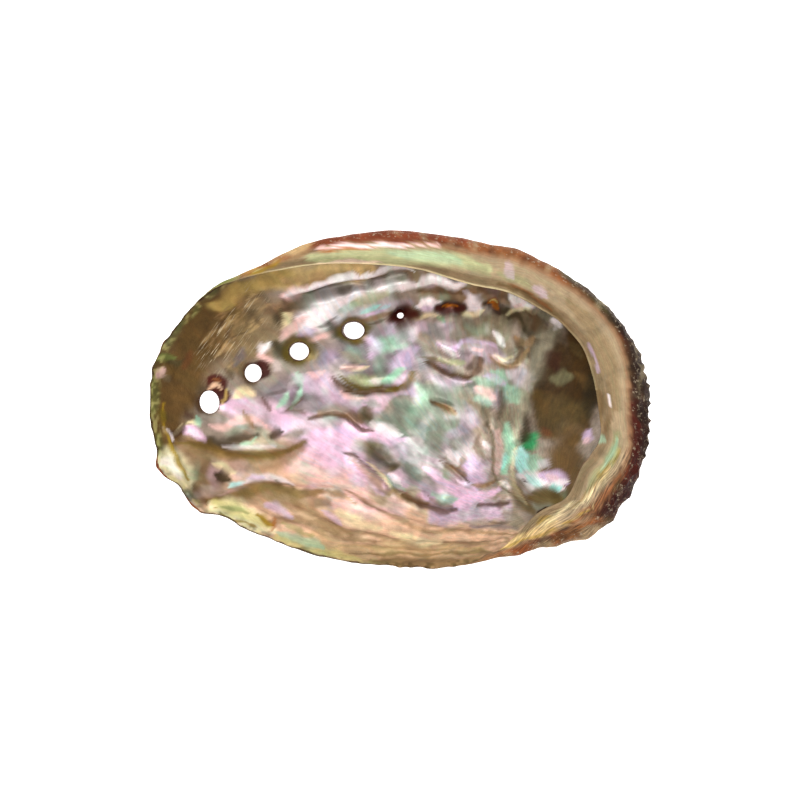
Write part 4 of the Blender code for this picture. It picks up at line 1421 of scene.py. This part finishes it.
def shell_material():
    material = bpy.data.materials.new("abalone shell")
    material.use_nodes = True
    tree = material.node_tree
    surface = tree.nodes["Principled BSDF"]
    place = node(tree, "ShaderNodeTexCoord").outputs["Object"]
    flow = attribute(tree, "flow", "Vector")
    pearl = attribute(tree, "pearl")
    dull = math_node(tree, "SUBTRACT", 1.0, pearl)
    grain = clouds(tree, place, 1100.0, Detail=6.0, Roughness=0.6)

    rainbow = math_node(tree, "MULTIPLY_ADD", pearl, 0.30, 0.12)
    hues = mixed(tree, rainbow, PLAIN_PEARL, pearl_hues(tree, flow))
    tinted = node(
        tree, "ShaderNodeVectorMath", {0: attribute(tree, "tint", "Color"), 1: hues}, operation="MULTIPLY")
    light = brightness(tree, place, flow, grain)
    shaded = node(tree, "ShaderNodeVectorMath", {0: tinted.outputs[0], "Scale": light}, operation="SCALE")
    fibred = mixed(tree, fibre_cover(tree, place), shaded.outputs[0], FIBRE)
    spots = mapped(tree, clouds(tree, place, 850.0, Detail=5.0, Roughness=0.7), 0.55, 0.66)
    crust = math_node(tree, "MULTIPLY", spots, math_node(tree, "GREATER_THAN", 0.05, pearl))
    crusted = mixed(tree, math_node(tree, "MULTIPLY", crust, CRUST_SHARE), fibred, CRUST)
    tree.links.new(crusted, surface.inputs["Base Color"])

    patchy = mapped(tree, clouds(tree, place, 260.0, Detail=4.0), 0.0, 1.0, 0.33, 0.46)
    tree.links.new(math_node(tree, "MULTIPLY_ADD", dull, 0.42, patchy), surface.inputs["Roughness"])
    tree.links.new(math_node(tree, "MULTIPLY", pearl, 0.24), surface.inputs["Metallic"])
    surface.inputs["Specular IOR Level"].default_value = 0.28
    height = math_node(tree, "MULTIPLY", grain, math_node(tree, "MULTIPLY_ADD", dull, 0.9, 0.1))
    bump = node(tree, "ShaderNodeBump", {"Height": height, "Strength": 0.6, "Distance": 0.0006})
    tree.links.new(bump.outputs["Normal"], surface.inputs["Normal"])
    return material


def area_light(name, place, size, power):
    light = bpy.data.lights.new(name, "AREA")
    light.size = size
    light.energy = power
    made = new_object(name, light)
    made.location = place
    made.rotation_euler = (Vector(LIT_PLACE) - Vector(place)).to_track_quat("-Z", "Y").to_euler()


def studio_floor():
    bm = bmesh.new()
    bmesh.ops.create_grid(bm, x_segments=1, y_segments=1, size=FLOOR_HALF)
    floor = new_object("floor", mesh_from(bm, "floor"))
    floor.location.z = -FLOOR_DROP
    pale = bpy.data.materials.new("floor")
    pale.use_nodes = True
    looks = pale.node_tree.nodes["Principled BSDF"].inputs
    looks["Base Color"].default_value = FLOOR_GREY
    looks["Emission Color"].default_value = (1, 1, 1, 1)
    for name in ("Roughness", "Emission Strength"):
        looks[name].default_value = 1.0
    floor.data.materials.append(pale)


def studio(shift):
    """Floor, lights, world and camera."""
    scene = bpy.context.scene
    scene.view_settings.view_transform = "Standard"
    studio_floor()
    for name, (place, size, power) in LIGHTS.items():
        area_light(name, place, size, power)

    world = bpy.data.worlds.new("studio")
    scene.world = world
    world.use_nodes = True
    background = world.node_tree.nodes["Background"]
    background.inputs["Color"].default_value = WORLD
    background.inputs["Strength"].default_value = WORLD_STRENGTH

    camera = bpy.data.cameras.new("camera")
    camera.lens = LENS
    camera.sensor_width = SENSOR
    camera.clip_end = FAR_CLIP
    distance = STEPS_ACROSS * STEP * MM * LENS / SENSOR
    scene.camera = new_object("camera", camera)
    scene.camera.location = (shift[0], shift[1], RIM_LEVEL * MM + distance)


shell, shift = build_shell()
shell.data.materials.clear()
shell.data.materials.append(shell_material())
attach(shell, "root")
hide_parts("abalone_shell")
studio(shift)
